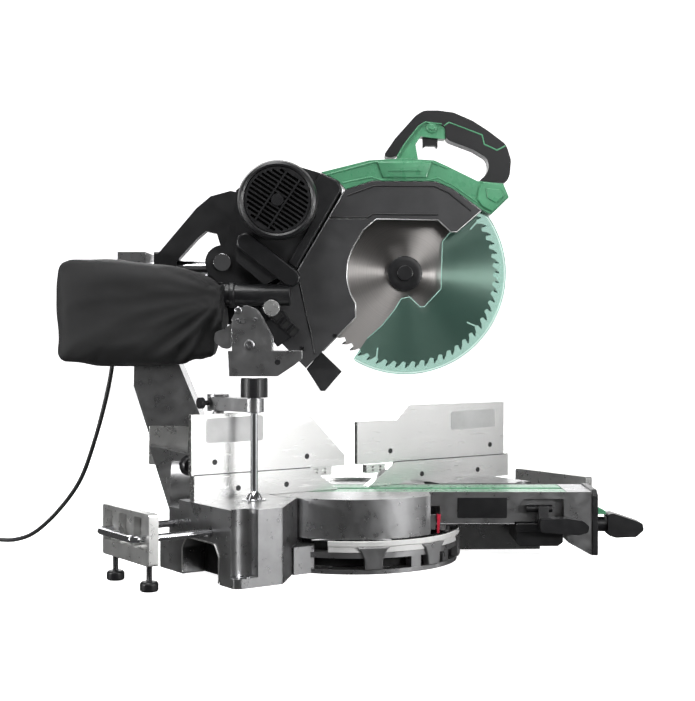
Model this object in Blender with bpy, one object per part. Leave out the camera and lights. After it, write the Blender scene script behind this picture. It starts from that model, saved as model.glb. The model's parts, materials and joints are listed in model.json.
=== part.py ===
"""Sliding compound miter saw, modelled piece by piece.

Frame: the origin is on the floor, on the turntable's pivot axis. +X is the operator's right, -Y is
towards the operator, +Z is up. Sizes are in millimetres and MM turns them into metres.

Everything above the base is drawn in the arm frame: the saw as it stands with the mitre at zero.
There "reach" is the distance from the pivot towards the operator (-Y) and "side" is X. The arm frame
is then turned by MITRE_AT_REST.
"""

import math

import bmesh
import bpy
from mathutils import Matrix, Vector

MM = 0.001
GAP = 0.4

# Driving dimensions
BLADE_R = 152.4
BLADE_T = 2.6
TABLE_Z = 110.0
SEAT_Z = 109.4
MITRE_AT_REST = 55.0
ARBOR = (82.5, 456.0)
HINGE = (-210.0, 473.0)
MOTOR = (-117.0, 564.0)
RAIL_SIDE = 100.0
RAIL_R = 14.0
RAIL_HEIGHTS = {"upper_rail": 468.0, "lower_rail": 400.0}
RAIL_REACH = (-384.0, 140.0)

# Base
DRUM_R = 154.0
DRUM_CLEAR_R = 157.0
RING_R = 168.0
RING_TOP = 46.0
RING_BOTTOM = 33.0
FENCE_TOP = 147.5
FENCE_T = 14.0
SUB_FENCE_TOP = 239.0
SUB_FENCE_T = 8.0
BASE_X = 300.0
BASE_BACK = 35.0

# Extension holders
HOLDER_X = {"left": -411.0, "right": 445.0}
HOLDER_Y = {"left": (-90.0, 60.0), "right": (-92.0, 90.0)}
HOLDER_T = 15.0
HOLDER_Z = (36.0, 109.0)
ROD_R = 5.5
ROD_Z = 72.0
ROD_Y = {"left": (-65.0, 50.0), "right": (-43.0, 72.0)}

# Vise
VISE_POST = (-225.0, 44.0)
VISE_ROD = (-211.0, -40.0)
VISE_SHELF_Z = 296.0

# Turntable arm
ARM_HALF = 54.0
ARM_REACH = (118.0, 375.0)
ARM_BOTTOM = 61.0
SLOT_HALF = 8.0

# Guard
LOWER_GUARD_R = 161.8
GUARD_CLEAR_R = 164.5

# Cord: its route from the strain relief to the coil, in the arm frame (side, reach, height)
CORD_R = 3.5
CORD_EXIT = (10.0, -374.0, 372.0)
COIL_MEAN_R = 41.0
COIL_HALF_WIDTH = 12.4
COIL_HEIGHT = 14.4
CORD_ROUTE = [
    (10.0, -374.8, 372.0),
    (10.0, -382.0, 371.2),
    (9.5, -390.0, 364.0),
    (8.5, -392.5, 350.0),
    (7.0, -391.0, 330.0),
    (7.0, -390.5, 309.0),
    (14.0, -401.0, 258.0),
    (30.0, -423.0, 185.0),
    (50.0, -451.0, 117.0),
    (80.0, -494.0, 62.0),
    (112.0, -540.0, 22.0),
    (136.0, -578.0, 6.0),
    (150.0, -612.0, 3.6),
    (158.0, -640.0, 3.6),
    (163.0, -664.0, 3.6),
]
COIL_CENTRE = (205.0, -707.0)
PLUG_AT = (205.0, -748.0, 31.8)

CREAM = (0.80, 0.80, 0.78)
LIGHT_METAL = (0.62, 0.62, 0.63)
GREY_PAINT = (0.16, 0.16, 0.165)
DARK_PAINT = (0.055, 0.055, 0.06)
BLACK = (0.018, 0.018, 0.02)
GREEN = (0.04, 0.33, 0.12)
CLEAR_GREEN = (0.25, 0.62, 0.45)
RED = (0.55, 0.02, 0.04)


# ---------------------------------------------------------------- shapes

def material(name, colour, roughness, metallic):
    """One Principled material, made once for each name."""
    found = bpy.data.materials.get(name)
    if found:
        return found
    made = bpy.data.materials.new(name)
    made.use_nodes = True
    shader = made.node_tree.nodes["Principled BSDF"]
    shader.inputs["Base Color"].default_value = (*colour, 1.0)
    shader.inputs["Roughness"].default_value = roughness
    shader.inputs["Metallic"].default_value = metallic
    return made


def finish_mesh(bm, name):
    """Turn a bmesh, in millimetres, into a named object with its faces pointing out."""
    bmesh.ops.remove_doubles(bm, verts=bm.verts, dist=0.001)
    bmesh.ops.recalc_face_normals(bm, faces=bm.faces)
    bmesh.ops.scale(bm, vec=(MM, MM, MM), verts=bm.verts)
    mesh = bpy.data.meshes.new(name)
    bm.to_mesh(mesh)
    bm.free()
    made = bpy.data.objects.new(name, mesh)
    bpy.context.collection.objects.link(made)
    return made


def rounded(outline, radius, steps=3):
    """The outline with each corner replaced by an arc of the given radius, where it fits."""
    out = []
    count = len(outline)
    for i, corner in enumerate(outline):
        here = Vector(corner)
        before = Vector(outline[i - 1]) - here
        after = Vector(outline[(i + 1) % count]) - here
        turn = before.angle(after)
        back = radius / math.tan(turn / 2)
        back = min(back, before.length * 0.45, after.length * 0.45)
        bend = back * math.tan(turn / 2)
        if turn > math.radians(165) or bend < 0.2:
            out.append(tuple(here))
            continue
        start = here + before.normalized() * back
        end = here + after.normalized() * back
        for k in range(steps + 1):
            t = k / steps
            out.append(tuple(start * (1 - t) ** 2 + here * 2 * t * (1 - t) + end * t ** 2))
    return out


def extrude(name, outline, low, high, point):
    """A prism: point(a, b, h) gives the place of outline point (a, b) at distance h."""
    bm = bmesh.new()
    bottom = [bm.verts.new(point(a, b, low)) for a, b in outline]
    top = [bm.verts.new(point(a, b, high)) for a, b in outline]
    bm.faces.new(bottom)
    bm.faces.new(top)
    count = len(outline)
    for i in range(count):
        j = (i + 1) % count
        bm.faces.new((bottom[i], bottom[j], top[j], top[i]))
    return finish_mesh(bm, name)


def plan(name, outline, z0, z1):
    """An outline of (x, y), standing from z0 to z1."""
    return extrude(name, outline, z0, z1, lambda a, b, h: (a, b, h))


def side(name, outline, x0, x1):
    """An outline of (reach, height), from side x0 to side x1."""
    return extrude(name, outline, x0, x1, lambda a, b, h: (h, -a, b))


def front(name, outline, reach0, reach1):
    """An outline of (side, height), from reach0 to reach1."""
    return extrude(name, outline, reach0, reach1, lambda a, b, h: (a, -h, b))


def turned(name, profile, centre, axis, segments=24):
    """A body of revolution: profile is (radius, distance along axis), closed on itself."""
    along = Vector(axis).normalized()
    across = along.orthogonal().normalized()
    third = along.cross(across)
    bm = bmesh.new()
    rings = []
    for radius, distance in profile:
        base = Vector(centre) + along * distance
        if radius < 0.01:
            rings.append([bm.verts.new(base)])
            continue
        ring = []
        for k in range(segments):
            angle = 2 * math.pi * k / segments
            ring.append(bm.verts.new(base + (across * math.cos(angle) + third * math.sin(angle)) * radius))
        rings.append(ring)
    count = len(rings)
    for i in range(count):
        a, b = rings[i], rings[(i + 1) % count]
        for k in range(segments):
            m = (k + 1) % segments
            if len(a) > 1 and len(b) > 1:
                bm.faces.new((a[k], a[m], b[m], b[k]))
            elif len(b) > 1:
                bm.faces.new((a[0], b[m], b[k]))
            elif len(a) > 1:
                bm.faces.new((a[k], a[m], b[0]))
    return finish_mesh(bm, name)


def disc(name, radius, centre, axis, length, segments=24):
    """A plain cylinder that starts at centre and runs along axis."""
    profile = [(0, 0), (radius, 0), (radius, length), (0, length)]
    return turned(name, profile, centre, axis, segments)


def pipe(name, inner, outer, centre, axis, length, segments=24):
    """A tube that starts at centre and runs along axis."""
    profile = [(inner, 0), (outer, 0), (outer, length), (inner, length)]
    return turned(name, profile, centre, axis, segments)


def bar(name, points, radius, resolution=2, curved=False):
    """A round bar through the points, as a curve with filled caps."""
    curve = bpy.data.curves.new(name, "CURVE")
    curve.dimensions = "3D"
    curve.bevel_depth = radius * MM
    curve.bevel_resolution = resolution
    curve.use_fill_caps = True
    spline = curve.splines.new("POLY")
    route = smooth_route(points, 3 * radius) if curved else points
    spline.points.add(len(route) - 1)
    for slot, (x, y, z) in zip(spline.points, route):
        slot.co = (x * MM, y * MM, z * MM, 1)
    made = bpy.data.objects.new(name, curve)
    bpy.context.collection.objects.link(made)
    return made


def smooth_route(points, spacing):
    """Evenly spaced points on a smooth curve (Catmull-Rom) through the given ones."""
    knots = [Vector(p) for p in points]
    knots = [2 * knots[0] - knots[1]] + knots + [2 * knots[-1] - knots[-2]]
    fine = []
    for a, b, c, d in zip(knots, knots[1:], knots[2:], knots[3:]):
        for k in range(24):
            t = k / 24
            fine.append(0.5 * (2 * b + (c - a) * t + (2 * a - 5 * b + 4 * c - d) * t ** 2
                               + (3 * b - a - 3 * c + d) * t ** 3))
    fine.append(knots[-2])
    out = [fine[0]]
    gone = 0.0
    for p, q in zip(fine, fine[1:]):
        gone += (q - p).length
        if gone >= spacing:
            out.append(q)
            gone = 0.0
    out[-1] = fine[-1]
    return [tuple(p) for p in out]


def arc(centre, radius, start, end, steps):
    """Points on an arc; the angles are in degrees."""
    out = []
    for k in range(steps + 1):
        angle = math.radians(start + (end - start) * k / steps)
        out.append((centre[0] + radius * math.cos(angle), centre[1] + radius * math.sin(angle)))
    return out


def capsule(a, b, radius_a, radius_b, steps=10):
    """The outline round two circles, like a belt on two pulleys."""
    heading = math.degrees(math.atan2(b[1] - a[1], b[0] - a[0]))
    return (arc(a, radius_a, heading + 90, heading + 270, steps)
            + arc(b, radius_b, heading - 90, heading + 90, steps))


def boolean(target, tools, operation):
    """Cut the tools from the target, or join them to it, and drop them."""
    for tool in tools:
        step = target.modifiers.new("boolean", "BOOLEAN")
        step.operation = operation
        step.solver = "EXACT"
        step.object = tool
        graph = bpy.context.evaluated_depsgraph_get()
        mesh = bpy.data.meshes.new_from_object(target.evaluated_get(graph))
        target.modifiers.clear()
        target.data = mesh
        mesh.name = target.name
        bpy.data.objects.remove(tool)
    return target


def cut(target, *tools):
    """The target less the tools, which are used up."""
    return boolean(target, tools, "DIFFERENCE")


def join(target, *tools):
    """The target with the tools added, which are used up."""
    return boolean(target, tools, "UNION")


# ---------------------------------------------------------------- bodies

class Body:
    """A rigid group: an empty on its joint, which holds the pieces of the group."""

    def __init__(self, name, parent=None, pivot=(0, 0, 0), turn=0.0):
        self.empty = bpy.data.objects.new("at_" + name, None)
        bpy.context.collection.objects.link(self.empty)
        self.pivot = Vector(pivot) * MM
        if parent:
            self.empty.parent = parent.empty
            self.empty.location = self.pivot - parent.pivot
        else:
            self.empty.location = self.pivot
        self.empty.rotation_euler = (0, 0, math.radians(turn))

    def add(self, piece, look):
        """Put a piece on the body, with its material, smooth where it is round."""
        piece.data.materials.clear()
        piece.data.materials.append(look)
        piece.parent = self.empty
        piece.matrix_parent_inverse = Matrix.Translation(-self.pivot)
        if piece.type == "MESH":
            piece.data.shade_smooth()
            piece.data.set_sharp_from_angle(angle=math.radians(35))
        return piece


def sided(x, sign):
    """The same plan outline on the left (-1) or on the right (+1)."""
    return [(sign * a, b) for a, b in x]


# ---------------------------------------------------------------- base

def base_casting():
    """The two table blocks on one floor disc, with legs, hand holds and the vise's boss."""
    left = [(-300, BASE_BACK), (-300, -132), (-292, -138), (-222, -138), (-152, -62), (-100, -30),
            (-100, BASE_BACK)]
    right = [(300, BASE_BACK), (100, BASE_BACK), (100, 6), (300, -122)]
    blocks = [plan("block", rounded(outline, 6), 0, TABLE_Z) for outline in (left, right)]
    swing = disc("swing", DRUM_CLEAR_R, (0, 0, RING_TOP + 1), (0, 0, 1), 80, 64)
    floor = disc("base_casting", RING_R - 2, (0, 0, 0), (0, 0, 1), 7, 64)
    hub = disc("hub", 30, (0, 0, 5), (0, 0, 1), 35, 32)
    rim = pipe("rim", 146, RING_R - 1, (0, 0, 24), (0, 0, 1), RING_BOTTOM - 24 - GAP, 64)
    body = join(floor, hub, rim)
    for angle in (-115, -90, -65, -40, 60, 90, 120):
        turn = math.radians(angle)
        leg = [(150, 4), (150, 26), (164, 26), (164, 4)]
        post = extrude("leg", leg, -9, 9,
                       lambda a, b, h: (a * math.cos(turn) - h * math.sin(turn),
                                        a * math.sin(turn) + h * math.cos(turn), b))
        join(body, post)
    join(body, *[cut(block, copy_of(swing)) for block in blocks])
    bpy.data.objects.remove(swing)
    join(body, plan("web", [(-171, -88), (-135, -88), (-110, -50), (-171, -30)], 0, 41))
    join(body, plan("web", [(171, -40), (140, -60), (110, -50), (150, 0)], 0, 41))
    for sign in (-1, 1):
        foot = rounded(sided([(300, 20), (262, 20), (262, 96), (300, 96)], sign), 5)
        back = ROD_Y["left" if sign < 0 else "right"][1] + 16
        lug = rounded(sided([(300, 20), (246, 20), (246, back), (300, back)], sign), 5)
        join(body, plan("rear_leg", foot, 0, 44), plan("rod_lug", lug, 30, 96))
        # hand hold under the side wall
        hold = rounded([(-92, -5), (-92, 40), (-78, 58), (6, 58), (20, 40), (20, -5)], 8)
        at = sorted((sign * 262.0, sign * 320.0))
        cut(body, extrude("hold", hold, at[0], at[1], lambda a, b, h: (h, a, b)))
        ear = (sign * 283, -134 if sign < 0 else -104)
        cut(body, disc("bolt_channel", 20, (ear[0], ear[1], 14), (0, 0, 1), 110, 24))
        cut(body, disc("bolt_hole", 5, (ear[0] + sign * -2, ear[1] + 8, -5), (0, 0, 1), 40, 12))
    boss = disc("boss", 17, (VISE_POST[0], VISE_POST[1], 0), (0, 0, 1), TABLE_Z, 20)
    join(body, boss)
    seat = [(-320, -0.5), (320, -0.5), (320, BASE_BACK + 5), (-320, BASE_BACK + 5)]
    cut(body, plan("fence_seat", seat, SEAT_Z, TABLE_Z + 5))
    cut(body, disc("post_hole", 9.4, (*VISE_POST, 80.5), (0, 0, 1), 60, 20))
    for sign, where in ((-1, "left"), (1, "right")):
        for y in ROD_Y[where]:
            cut(body, disc("rod_hole", ROD_R + 0.5, (sign * 190, y, ROD_Z), (sign, 0, 0), 130, 12))
    return body


def copy_of(source):
    """A second object with its own copy of the mesh, for a tool that is used twice."""
    made = bpy.data.objects.new(source.name, source.data.copy())
    bpy.context.collection.objects.link(made)
    return made


def scale_ring():
    """The steel mitre scale with its detent notches, from 48 degrees left to 62 right."""
    outline = arc((0, 0), RING_R, 221.5, 332, 40) + arc((0, 0), 157.5, 332, 221.5, 40)
    ring = plan("miter_scale_ring", outline, RING_BOTTOM, RING_TOP)
    for detent in (-45, -31.6, -22.5, -15, 0, 15, 22.5, 31.6, 45, 57):
        turn = math.radians(270 + detent)
        notch = [(161, -3.4), (161, 3.4), (172, 4.6), (172, -4.6)]
        place = [(a * math.cos(turn) - b * math.sin(turn), a * math.sin(turn) + b * math.cos(turn))
                 for a, b in notch]
        cut(ring, plan("notch", place, RING_TOP - 5, RING_TOP + 5))
    return ring


def fence_wall(name, outline, thickness):
    """A fence: an outline of (x, height) whose face is at y = 0."""
    return extrude(name, outline, 0, thickness, lambda a, b, h: (a, h, b))


def fixed_fence():
    """The two fence walls, joined by a bridge behind the blade's slot."""
    low = TABLE_Z + GAP
    seat = SEAT_Z + GAP
    left = [(-291, seat), (-160, seat), (-160, low), (-30, low), (-84, FENCE_TOP - GAP),
            (-291, FENCE_TOP - GAP)]
    right = [(332, seat), (332, FENCE_TOP - GAP), (84, FENCE_TOP - GAP), (30, low), (160, low),
             (160, seat)]
    bridge = plan("bridge", arc((0, 0), 124, 0, 180, 28) + arc((0, 0), 106, 180, 0, 28), low, 115.5)
    fence = join(fence_wall("fixed_fence", left, FENCE_T), bridge,
                 fence_wall("right_wall", right, FENCE_T))
    for x in (-215, -128, 140, 262):
        cut(fence, disc("hole", 3.5, (x, -5, low + 14), (0, 1, 0), 30, 12))
    return fence


def sub_fence(name, outline, holes, block_x):
    """An upper fence that slides on the fixed one, with its slide block behind."""
    plate = fence_wall(name, outline, SUB_FENCE_T)
    x0, x1 = block_x
    block = extrude("block", [(x0, FENCE_TOP), (x1, FENCE_TOP), (x1, FENCE_TOP + 22),
                              (x0, FENCE_TOP + 22)],
                    SUB_FENCE_T - 2, SUB_FENCE_T + 12, lambda a, b, h: (a, h, b))
    join(plate, block)
    for x in holes:
        cut(plate, disc("hole", 3.5, (x, -5, 166), (0, 1, 0), 30, 12))
    return plate


def fence_knob(name, x):
    """The screw and wing knob that clamp a sliding fence from behind."""
    profile = [(0, 0), (4, 0), (4, 16), (14, 16), (16, 20), (16, 30), (13, 34), (0, 34)]
    return turned(name, profile, (x, SUB_FENCE_T + 12 + GAP, FENCE_TOP + 11), (0, 1, 0), 12)


def holder_plate(name, where):
    """An extension rest, hollow on its outer side."""
    sign = -1 if where == "left" else 1
    y0, y1 = HOLDER_Y[where]
    outer = HOLDER_X[where]
    xs = sorted((outer, outer - sign * HOLDER_T))
    outline = rounded([(y0, HOLDER_Z[0]), (y1, HOLDER_Z[0]), (y1, HOLDER_Z[1]), (y0, HOLDER_Z[1])], 4)
    plate = extrude(name, outline, xs[0], xs[1], lambda a, b, h: (h, a, b))
    bays = 3
    wall = 7.0
    pitch = (y1 - y0 - wall) / bays
    for k in range(bays):
        low = y0 + wall + k * pitch
        bay = [(low, 58), (low + pitch - wall, 58), (low + pitch - wall, 102), (low, 102)]
        depth = sorted((outer + sign * 5, outer - sign * (HOLDER_T - 4)))
        cut(plate, extrude("bay", rounded(bay, 4), depth[0], depth[1], lambda a, b, h: (h, a, b)))
    for y in ROD_Y[where]:
        cut(plate, disc("rod_hole", ROD_R + GAP, (outer - 60, y, ROD_Z), (1, 0, 0), 120, 12))
    middle = outer - sign * HOLDER_T / 2
    for y in (y0 + 14, y1 - 28):
        cut(plate, disc("foot_hole", 4 + GAP, (middle, y, 20), (0, 0, 1), 44, 12))
    return plate


def holder_rod(name, where):
    """The bent rod: two straight legs into the base, joined outside the rest."""
    sign = -1 if where == "left" else 1
    y0, y1 = ROD_Y[where]
    inside = sign * 200.0
    outer = HOLDER_X[where] + sign * 12
    bend = 12.0
    legs = [(inside, y0), (outer - sign * bend, y0)]
    corner = [(outer - sign * bend * (1 - math.sin(t)), y0 + bend * (1 - math.cos(t)))
              for t in (math.radians(d) for d in (22, 45, 68, 90))]
    far = [(x, y0 + y1 - y) for x, y in reversed(legs + corner)]
    return bar(name, [(x, y, ROD_Z) for x, y in legs + corner + far], ROD_R, 2)


def holder_foot(name, where, y):
    """A threaded stud with a knob foot."""
    sign = -1 if where == "left" else 1
    x = HOLDER_X[where] - sign * HOLDER_T / 2
    profile = [(0, 0), (11, 0), (13, 2), (13, 11), (11, 14), (4, 14), (4, 50), (0, 50)]
    return turned(name, profile, (x, y, 0), (0, 0, 1), 16)


# ---------------------------------------------------------------- vise

def vise_arm():
    """The post behind the fence with the cast arm that reaches over it."""
    post = disc("vise_arm", 9, (*VISE_POST, 81), (0, 0, 1), 165, 20)
    a, b = VISE_POST, VISE_ROD
    arm = plan("arm", capsule(a, b, 17, 15, 8), 242, 262)
    hub = disc("hub", 17, (*VISE_POST, 240), (0, 0, 1), 26, 20)
    arm = join(post, arm, hub)
    cut(arm, disc("rod_hole", 10 + GAP, (*VISE_ROD, 230), (0, 0, 1), 50, 20))
    return arm


def vise_clamp_screw():
    """The small thumb screw that locks the arm on its post."""
    profile = [(0, 0), (4, 0), (4, 9), (9, 9), (9, 17), (0, 17)]
    return turned("vise_clamp_screw", profile, (VISE_POST[0] - 17.5, VISE_POST[1], 253), (-1, 0, 0), 12)


def vise_rod():
    """The vise spindle with its cone foot and, above the arm, its knurled collar."""
    profile = [(0, 0), (14, 0), (10, 9), (5.5, 13), (5.5, 130), (10, 130), (10, 153), (14, 153),
               (14, 165), (19, 167), (19, 183), (0, 183)]
    return turned("vise_rod", profile, (*VISE_ROD, TABLE_Z + GAP), (0, 0, 1), 20)


def vise_bracket():
    """The cast two-plate bracket at the top, drawn along the arm of the saw at rest."""
    low = VISE_SHELF_Z
    shelf = [(-36, low), (36, low), (60, low + 16), (72, low + 26), (72, low + 38), (-38, low + 38)]
    plate = [(-32, low + 30), (28, low + 30), (28, low + 58), (12, low + 88), (4, low + 100),
             (-10, low + 106), (-24, low + 100), (-32, low + 86)]
    bracket = side("vise_bracket", shelf, -20, 20)
    for x in (-20, 8):
        join(bracket, side("cheek", rounded(plate, 8), x, x + 12))
    cut(bracket, disc("pin_hole", 4, (-40, 15, low + 82), (1, 0, 0), 80, 12))
    return seated(bracket)


def vise_lever():
    """The cam lever between the bracket's cheeks, with its round end at the back."""
    low = VISE_SHELF_Z
    outline = rounded([(-48, low + 42), (-38, low + 40), (-8, low + 70), (-6, low + 84),
                       (-20, low + 88), (-46, low + 70), (-58, low + 66), (-60, low + 52)], 8)
    lever = side("vise_lever", outline, -7.4, 7.4)
    return seated(join(lever, disc("pin", 4 - GAP, (-23, 15, low + 82), (1, 0, 0), 46, 12)))


def seated(piece):
    """Move a piece from the arm frame's origin to the vise's spindle, turned with the arm."""
    piece.data.transform(Matrix.Translation((VISE_ROD[0] * MM, VISE_ROD[1] * MM, 0))
                         @ Matrix.Rotation(math.radians(MITRE_AT_REST), 4, "Z"))
    return piece


# ---------------------------------------------------------------- turntable

def turntable():
    """Drum, arm and rear neck in one casting, open from below."""
    drum = disc("turntable", DRUM_R, (0, 0, 50), (0, 0, 1), TABLE_Z - 50, 72)
    arm = front("arm", [(-ARM_HALF, ARM_BOTTOM), (ARM_HALF, ARM_BOTTOM), (ARM_HALF, TABLE_Z),
                        (-ARM_HALF, TABLE_Z)], 90, ARM_REACH[1])
    toe = [(330, 62), (338, 30), (ARM_REACH[1], 10), (ARM_REACH[1], 80), (330, 80)]
    neck = [(-120, 56), (-222, 56), (-222, 104), (-120, 104)]
    body = join(drum, arm, side("toe", toe, -ARM_HALF, ARM_HALF), side("neck", neck, -48, 48),
                disc("flange", 60, (0, 222 - 4, TABLE_Z), (0, 1, 0), 12, 40))
    for sign in (-1, 1):
        xs = sorted((sign * ARM_HALF, sign * 200.0))
        cut(body, plan("trim", [(xs[0], -ARM_REACH[0]), (xs[1], -ARM_REACH[0]), (xs[1], -200),
                                (xs[0], -200)], 40, 120))
    cut(body, disc("hollow", DRUM_R - 8, (0, 0, 40), (0, 0, 1), 48, 48))
    cut(body, front("arm_hollow", [(-34, 40), (ARM_HALF - 7, 40), (ARM_HALF - 7, 86), (-34, 86)],
                    80, 322))
    cut(body, plan("slot", [(-51, 150), (51, 150), (51, -336), (-51, -336)], TABLE_Z - 4, TABLE_Z + 5))
    cut(body, plan("trough", [(-26, 110), (26, 110), (26, -328), (-26, -328)], 97, TABLE_Z + 5))
    recess = rounded([(253, 50), (253, 84), (268, 99), (331, 99), (331, 50)], 3)
    cut(body, side("lever_recess", recess, -60, -38))
    cut(body, disc("lock_bore", 7 + GAP, (0, -ARM_REACH[1] + 12, 52), (0, -1, 0), 30, 16))
    join(body, disc("pivot_boss", 26, (0, 0, 41), (0, 0, 1), 50, 32))
    return body


def kerf_plate(name, sign):
    """One of the two green insert plates beside the blade's slot."""
    xs = sorted((sign * SLOT_HALF, sign * (51 - GAP)))
    return plan(name, [(xs[0], 140), (xs[1], 140), (xs[1], -336 + GAP), (xs[0], -336 + GAP)],
                TABLE_Z - 4 + GAP, TABLE_Z - 0.3)


def front_cap():
    """The black moulded cap on the end of the arm."""
    outline = rounded([(-ARM_HALF - 3, 10), (ARM_HALF + 3, 10), (ARM_HALF + 3, 106), (ARM_HALF - 10, 113),
                       (-ARM_HALF + 10, 113), (-ARM_HALF - 3, 106)], 5)
    cap = front("front_cap", outline, ARM_REACH[1] + GAP, ARM_REACH[1] + 9)
    return cut(cap, disc("hole", 7 + GAP, (0, -360, 52), (0, -1, 0), 60, 16))


def lock_handle():
    """The mitre lock: a screw along the arm with a flattened grip."""
    screw = disc("miter_lock_handle", 7, (0, -ARM_REACH[1] + 6, 52), (0, -1, 0), 20, 16)
    outline = [(407, 36), (407, 70), (416, 71), (450, 60), (463, 55), (465, 44), (452, 33), (420, 32)]
    grip = side("grip", rounded(outline, 6), -17, 17)
    return join(screw, disc("neck", 12, (0, -ARM_REACH[1] - 9 - GAP, 52), (0, -1, 0), 26, 16), grip)


def detent_lever():
    """The green thumb lever over the lock handle."""
    outline = rounded([(385, 69), (385, 81), (391, 81), (405, 74), (405, 69)], 2)
    return side("detent_lever", outline, -11, 11)


def bevel_lever():
    """The tilt lock: a shaft in the arm's recess with a paddle outside."""
    shaft = disc("bevel_lock_lever", 6, (-45 - 2, -272, 83), (0, -1, 0), 41, 14)
    crank = front("crank", [(-55, 78), (-41, 78), (-41, 88), (-55, 88)], 290, 306)
    drop = front("drop", [(-64, 56), (-55, 60), (-52, 88), (-58, 88)], 290, 306)
    paddle = side("paddle", rounded([(290, 50), (290, 70), (330, 72), (356, 68), (366, 60), (364, 50),
                                     (350, 46)], 5), -82, -58)
    return join(shaft, crank, drop, paddle)


def pointer():
    """The red mitre pointer with its bracket, on the drum's side wall at the arm's corner."""
    outline = [(119, 58), (130, 58), (134, 66), (139, 66), (139, 80), (119, 80)]
    body = side("miter_pointer", outline, -ARM_HALF - 8, -ARM_HALF - GAP)
    return join(body, side("tip", [(136, 48), (140, 48), (140, 80), (136, 80)],
                           -ARM_HALF - 12, -ARM_HALF - 5))


# ---------------------------------------------------------------- column and rails

def tilt_column():
    """The curved casting that tilts about the arm's axis and holds the two rails."""
    near = [(-287, 80), (-252, 80), (-252, 180), (-263, 210), (-304, 308), (-316, 360), (-330, 420),
            (-352, 432), (-354, 275), (-317, 158)]
    knuckle = disc("tilt_column", 62, (0, 236, TABLE_Z), (0, 1, 0), 52, 40)
    lower = [(-287, 64), (-236, 64), (-236, 190), (-247, 228), (-281, 310), (-352, 310), (-352, 275),
             (-317, 158)]
    upper = [(-281, 308), (-337, 366), (-339, 372), (-339, 492), (-384, 492), (-384, 384), (-352, 308)]
    body = join(knuckle, side("lower", lower, -40, 62), side("upper", upper, 18, 128))
    join(body, side("near", near, -5, 22))
    cut(body, side("thin", [(-400, 200), (-400, 505), (-230, 505), (-230, 160)], -80, -5))
    cut(body, side("relief", rounded([(-300, 170), (-262, 170), (-262, 215), (-300, 285), (-330, 285),
                                      (-322, 240)], 8), 34, 90))
    for height in RAIL_HEIGHTS.values():
        cut(body, disc("rail_bore", RAIL_R + GAP, (RAIL_SIDE, 320, height), (0, 1, 0), 80, 24))
    return body


def rail(name, height):
    """One steel slide tube."""
    return pipe(name, RAIL_R - 2.5, RAIL_R, (RAIL_SIDE, -RAIL_REACH[1], height), (0, 1, 0),
                RAIL_REACH[1] - RAIL_REACH[0], 24)


def rail_bridge():
    """The moulded end piece that holds the rails' front ends."""
    outline = capsule((RAIL_SIDE, 400.0), (RAIL_SIDE, 468.0), 20, 20, 10)
    return front("rail_end_bridge", outline, RAIL_REACH[1] + GAP, RAIL_REACH[1] + 12)


def strain_relief():
    """The tapered rubber sleeve where the cord leaves the column."""
    x, reach, z = CORD_EXIT
    length = 20.0
    profile = [(0, 0), (8, 0), (8, 4), (6.5, 5), (5, length), (0, length)]
    return turned("strain_relief", profile, (x, -reach - length - GAP, z), (0, 1, 0), 16)


# ---------------------------------------------------------------- carriage

def carriage():
    """Two rail sleeves bridged by the carrying arch, with the head's hinge lug."""
    sleeve = [(RAIL_SIDE - 26, 374), (RAIL_SIDE + 26, 374), (RAIL_SIDE + 26, 496), (RAIL_SIDE - 26, 496)]
    rear = front("slide_carriage", rounded(sleeve, 8), -333, -296)
    fore = front("fore", rounded(sleeve, 8), -243, -160)
    foot = [(-333, 470), (-333, 484), (-300, 522), (-262, 568), (-238, 588), (-205, 597), (-180, 592),
            (-165, 560), (-160, 480), (-240, 480), (-222, 506), (-228, 526), (-246, 530), (-262, 516),
            (-300, 474)]
    arch = side("arch", foot, RAIL_SIDE - 26, RAIL_SIDE + 4)
    lug = disc("lug", 26, (14, -HINGE[0], HINGE[1]), (1, 0, 0), 66, 32)
    body = join(rear, fore, arch, lug)
    join(body, front("keel", rounded([(RAIL_SIDE - 24, 374), (RAIL_SIDE + 24, 374),
                                      (RAIL_SIDE + 24, 384), (RAIL_SIDE - 24, 384)], 2), -300, -240))
    for height in RAIL_HEIGHTS.values():
        cut(body, disc("rail_bore", RAIL_R + GAP, (RAIL_SIDE, 140, height), (0, 1, 0), 210, 24))
    cut(body, disc("pin_bore", 9 + GAP, (0, -HINGE[0], HINGE[1]), (1, 0, 0), 84, 20))
    cut(body, disc("knob_bore", 4 + GAP, (RAIL_SIDE + 40, 200, 434), (-1, 0, 0), 50, 12))
    return body


def slide_knob():
    """The knob that locks the slide."""
    profile = [(0, 0), (4, 0), (4, 14), (15, 14), (17, 18), (17, 30), (14, 34), (0, 34)]
    return turned("slide_lock_knob", profile, (RAIL_SIDE + 12.5, 200, 434), (1, 0, 0), 14)


def hinge_pin():
    """The pin through the carriage lug and the head's hub."""
    profile = [(0, 0), (14, 0), (14, 5), (9, 5), (9, 105), (0, 105)]
    return turned("hinge_pin", profile, (-16 - GAP - 5, -HINGE[0], HINGE[1]), (1, 0, 0), 20)


# ---------------------------------------------------------------- head

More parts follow.
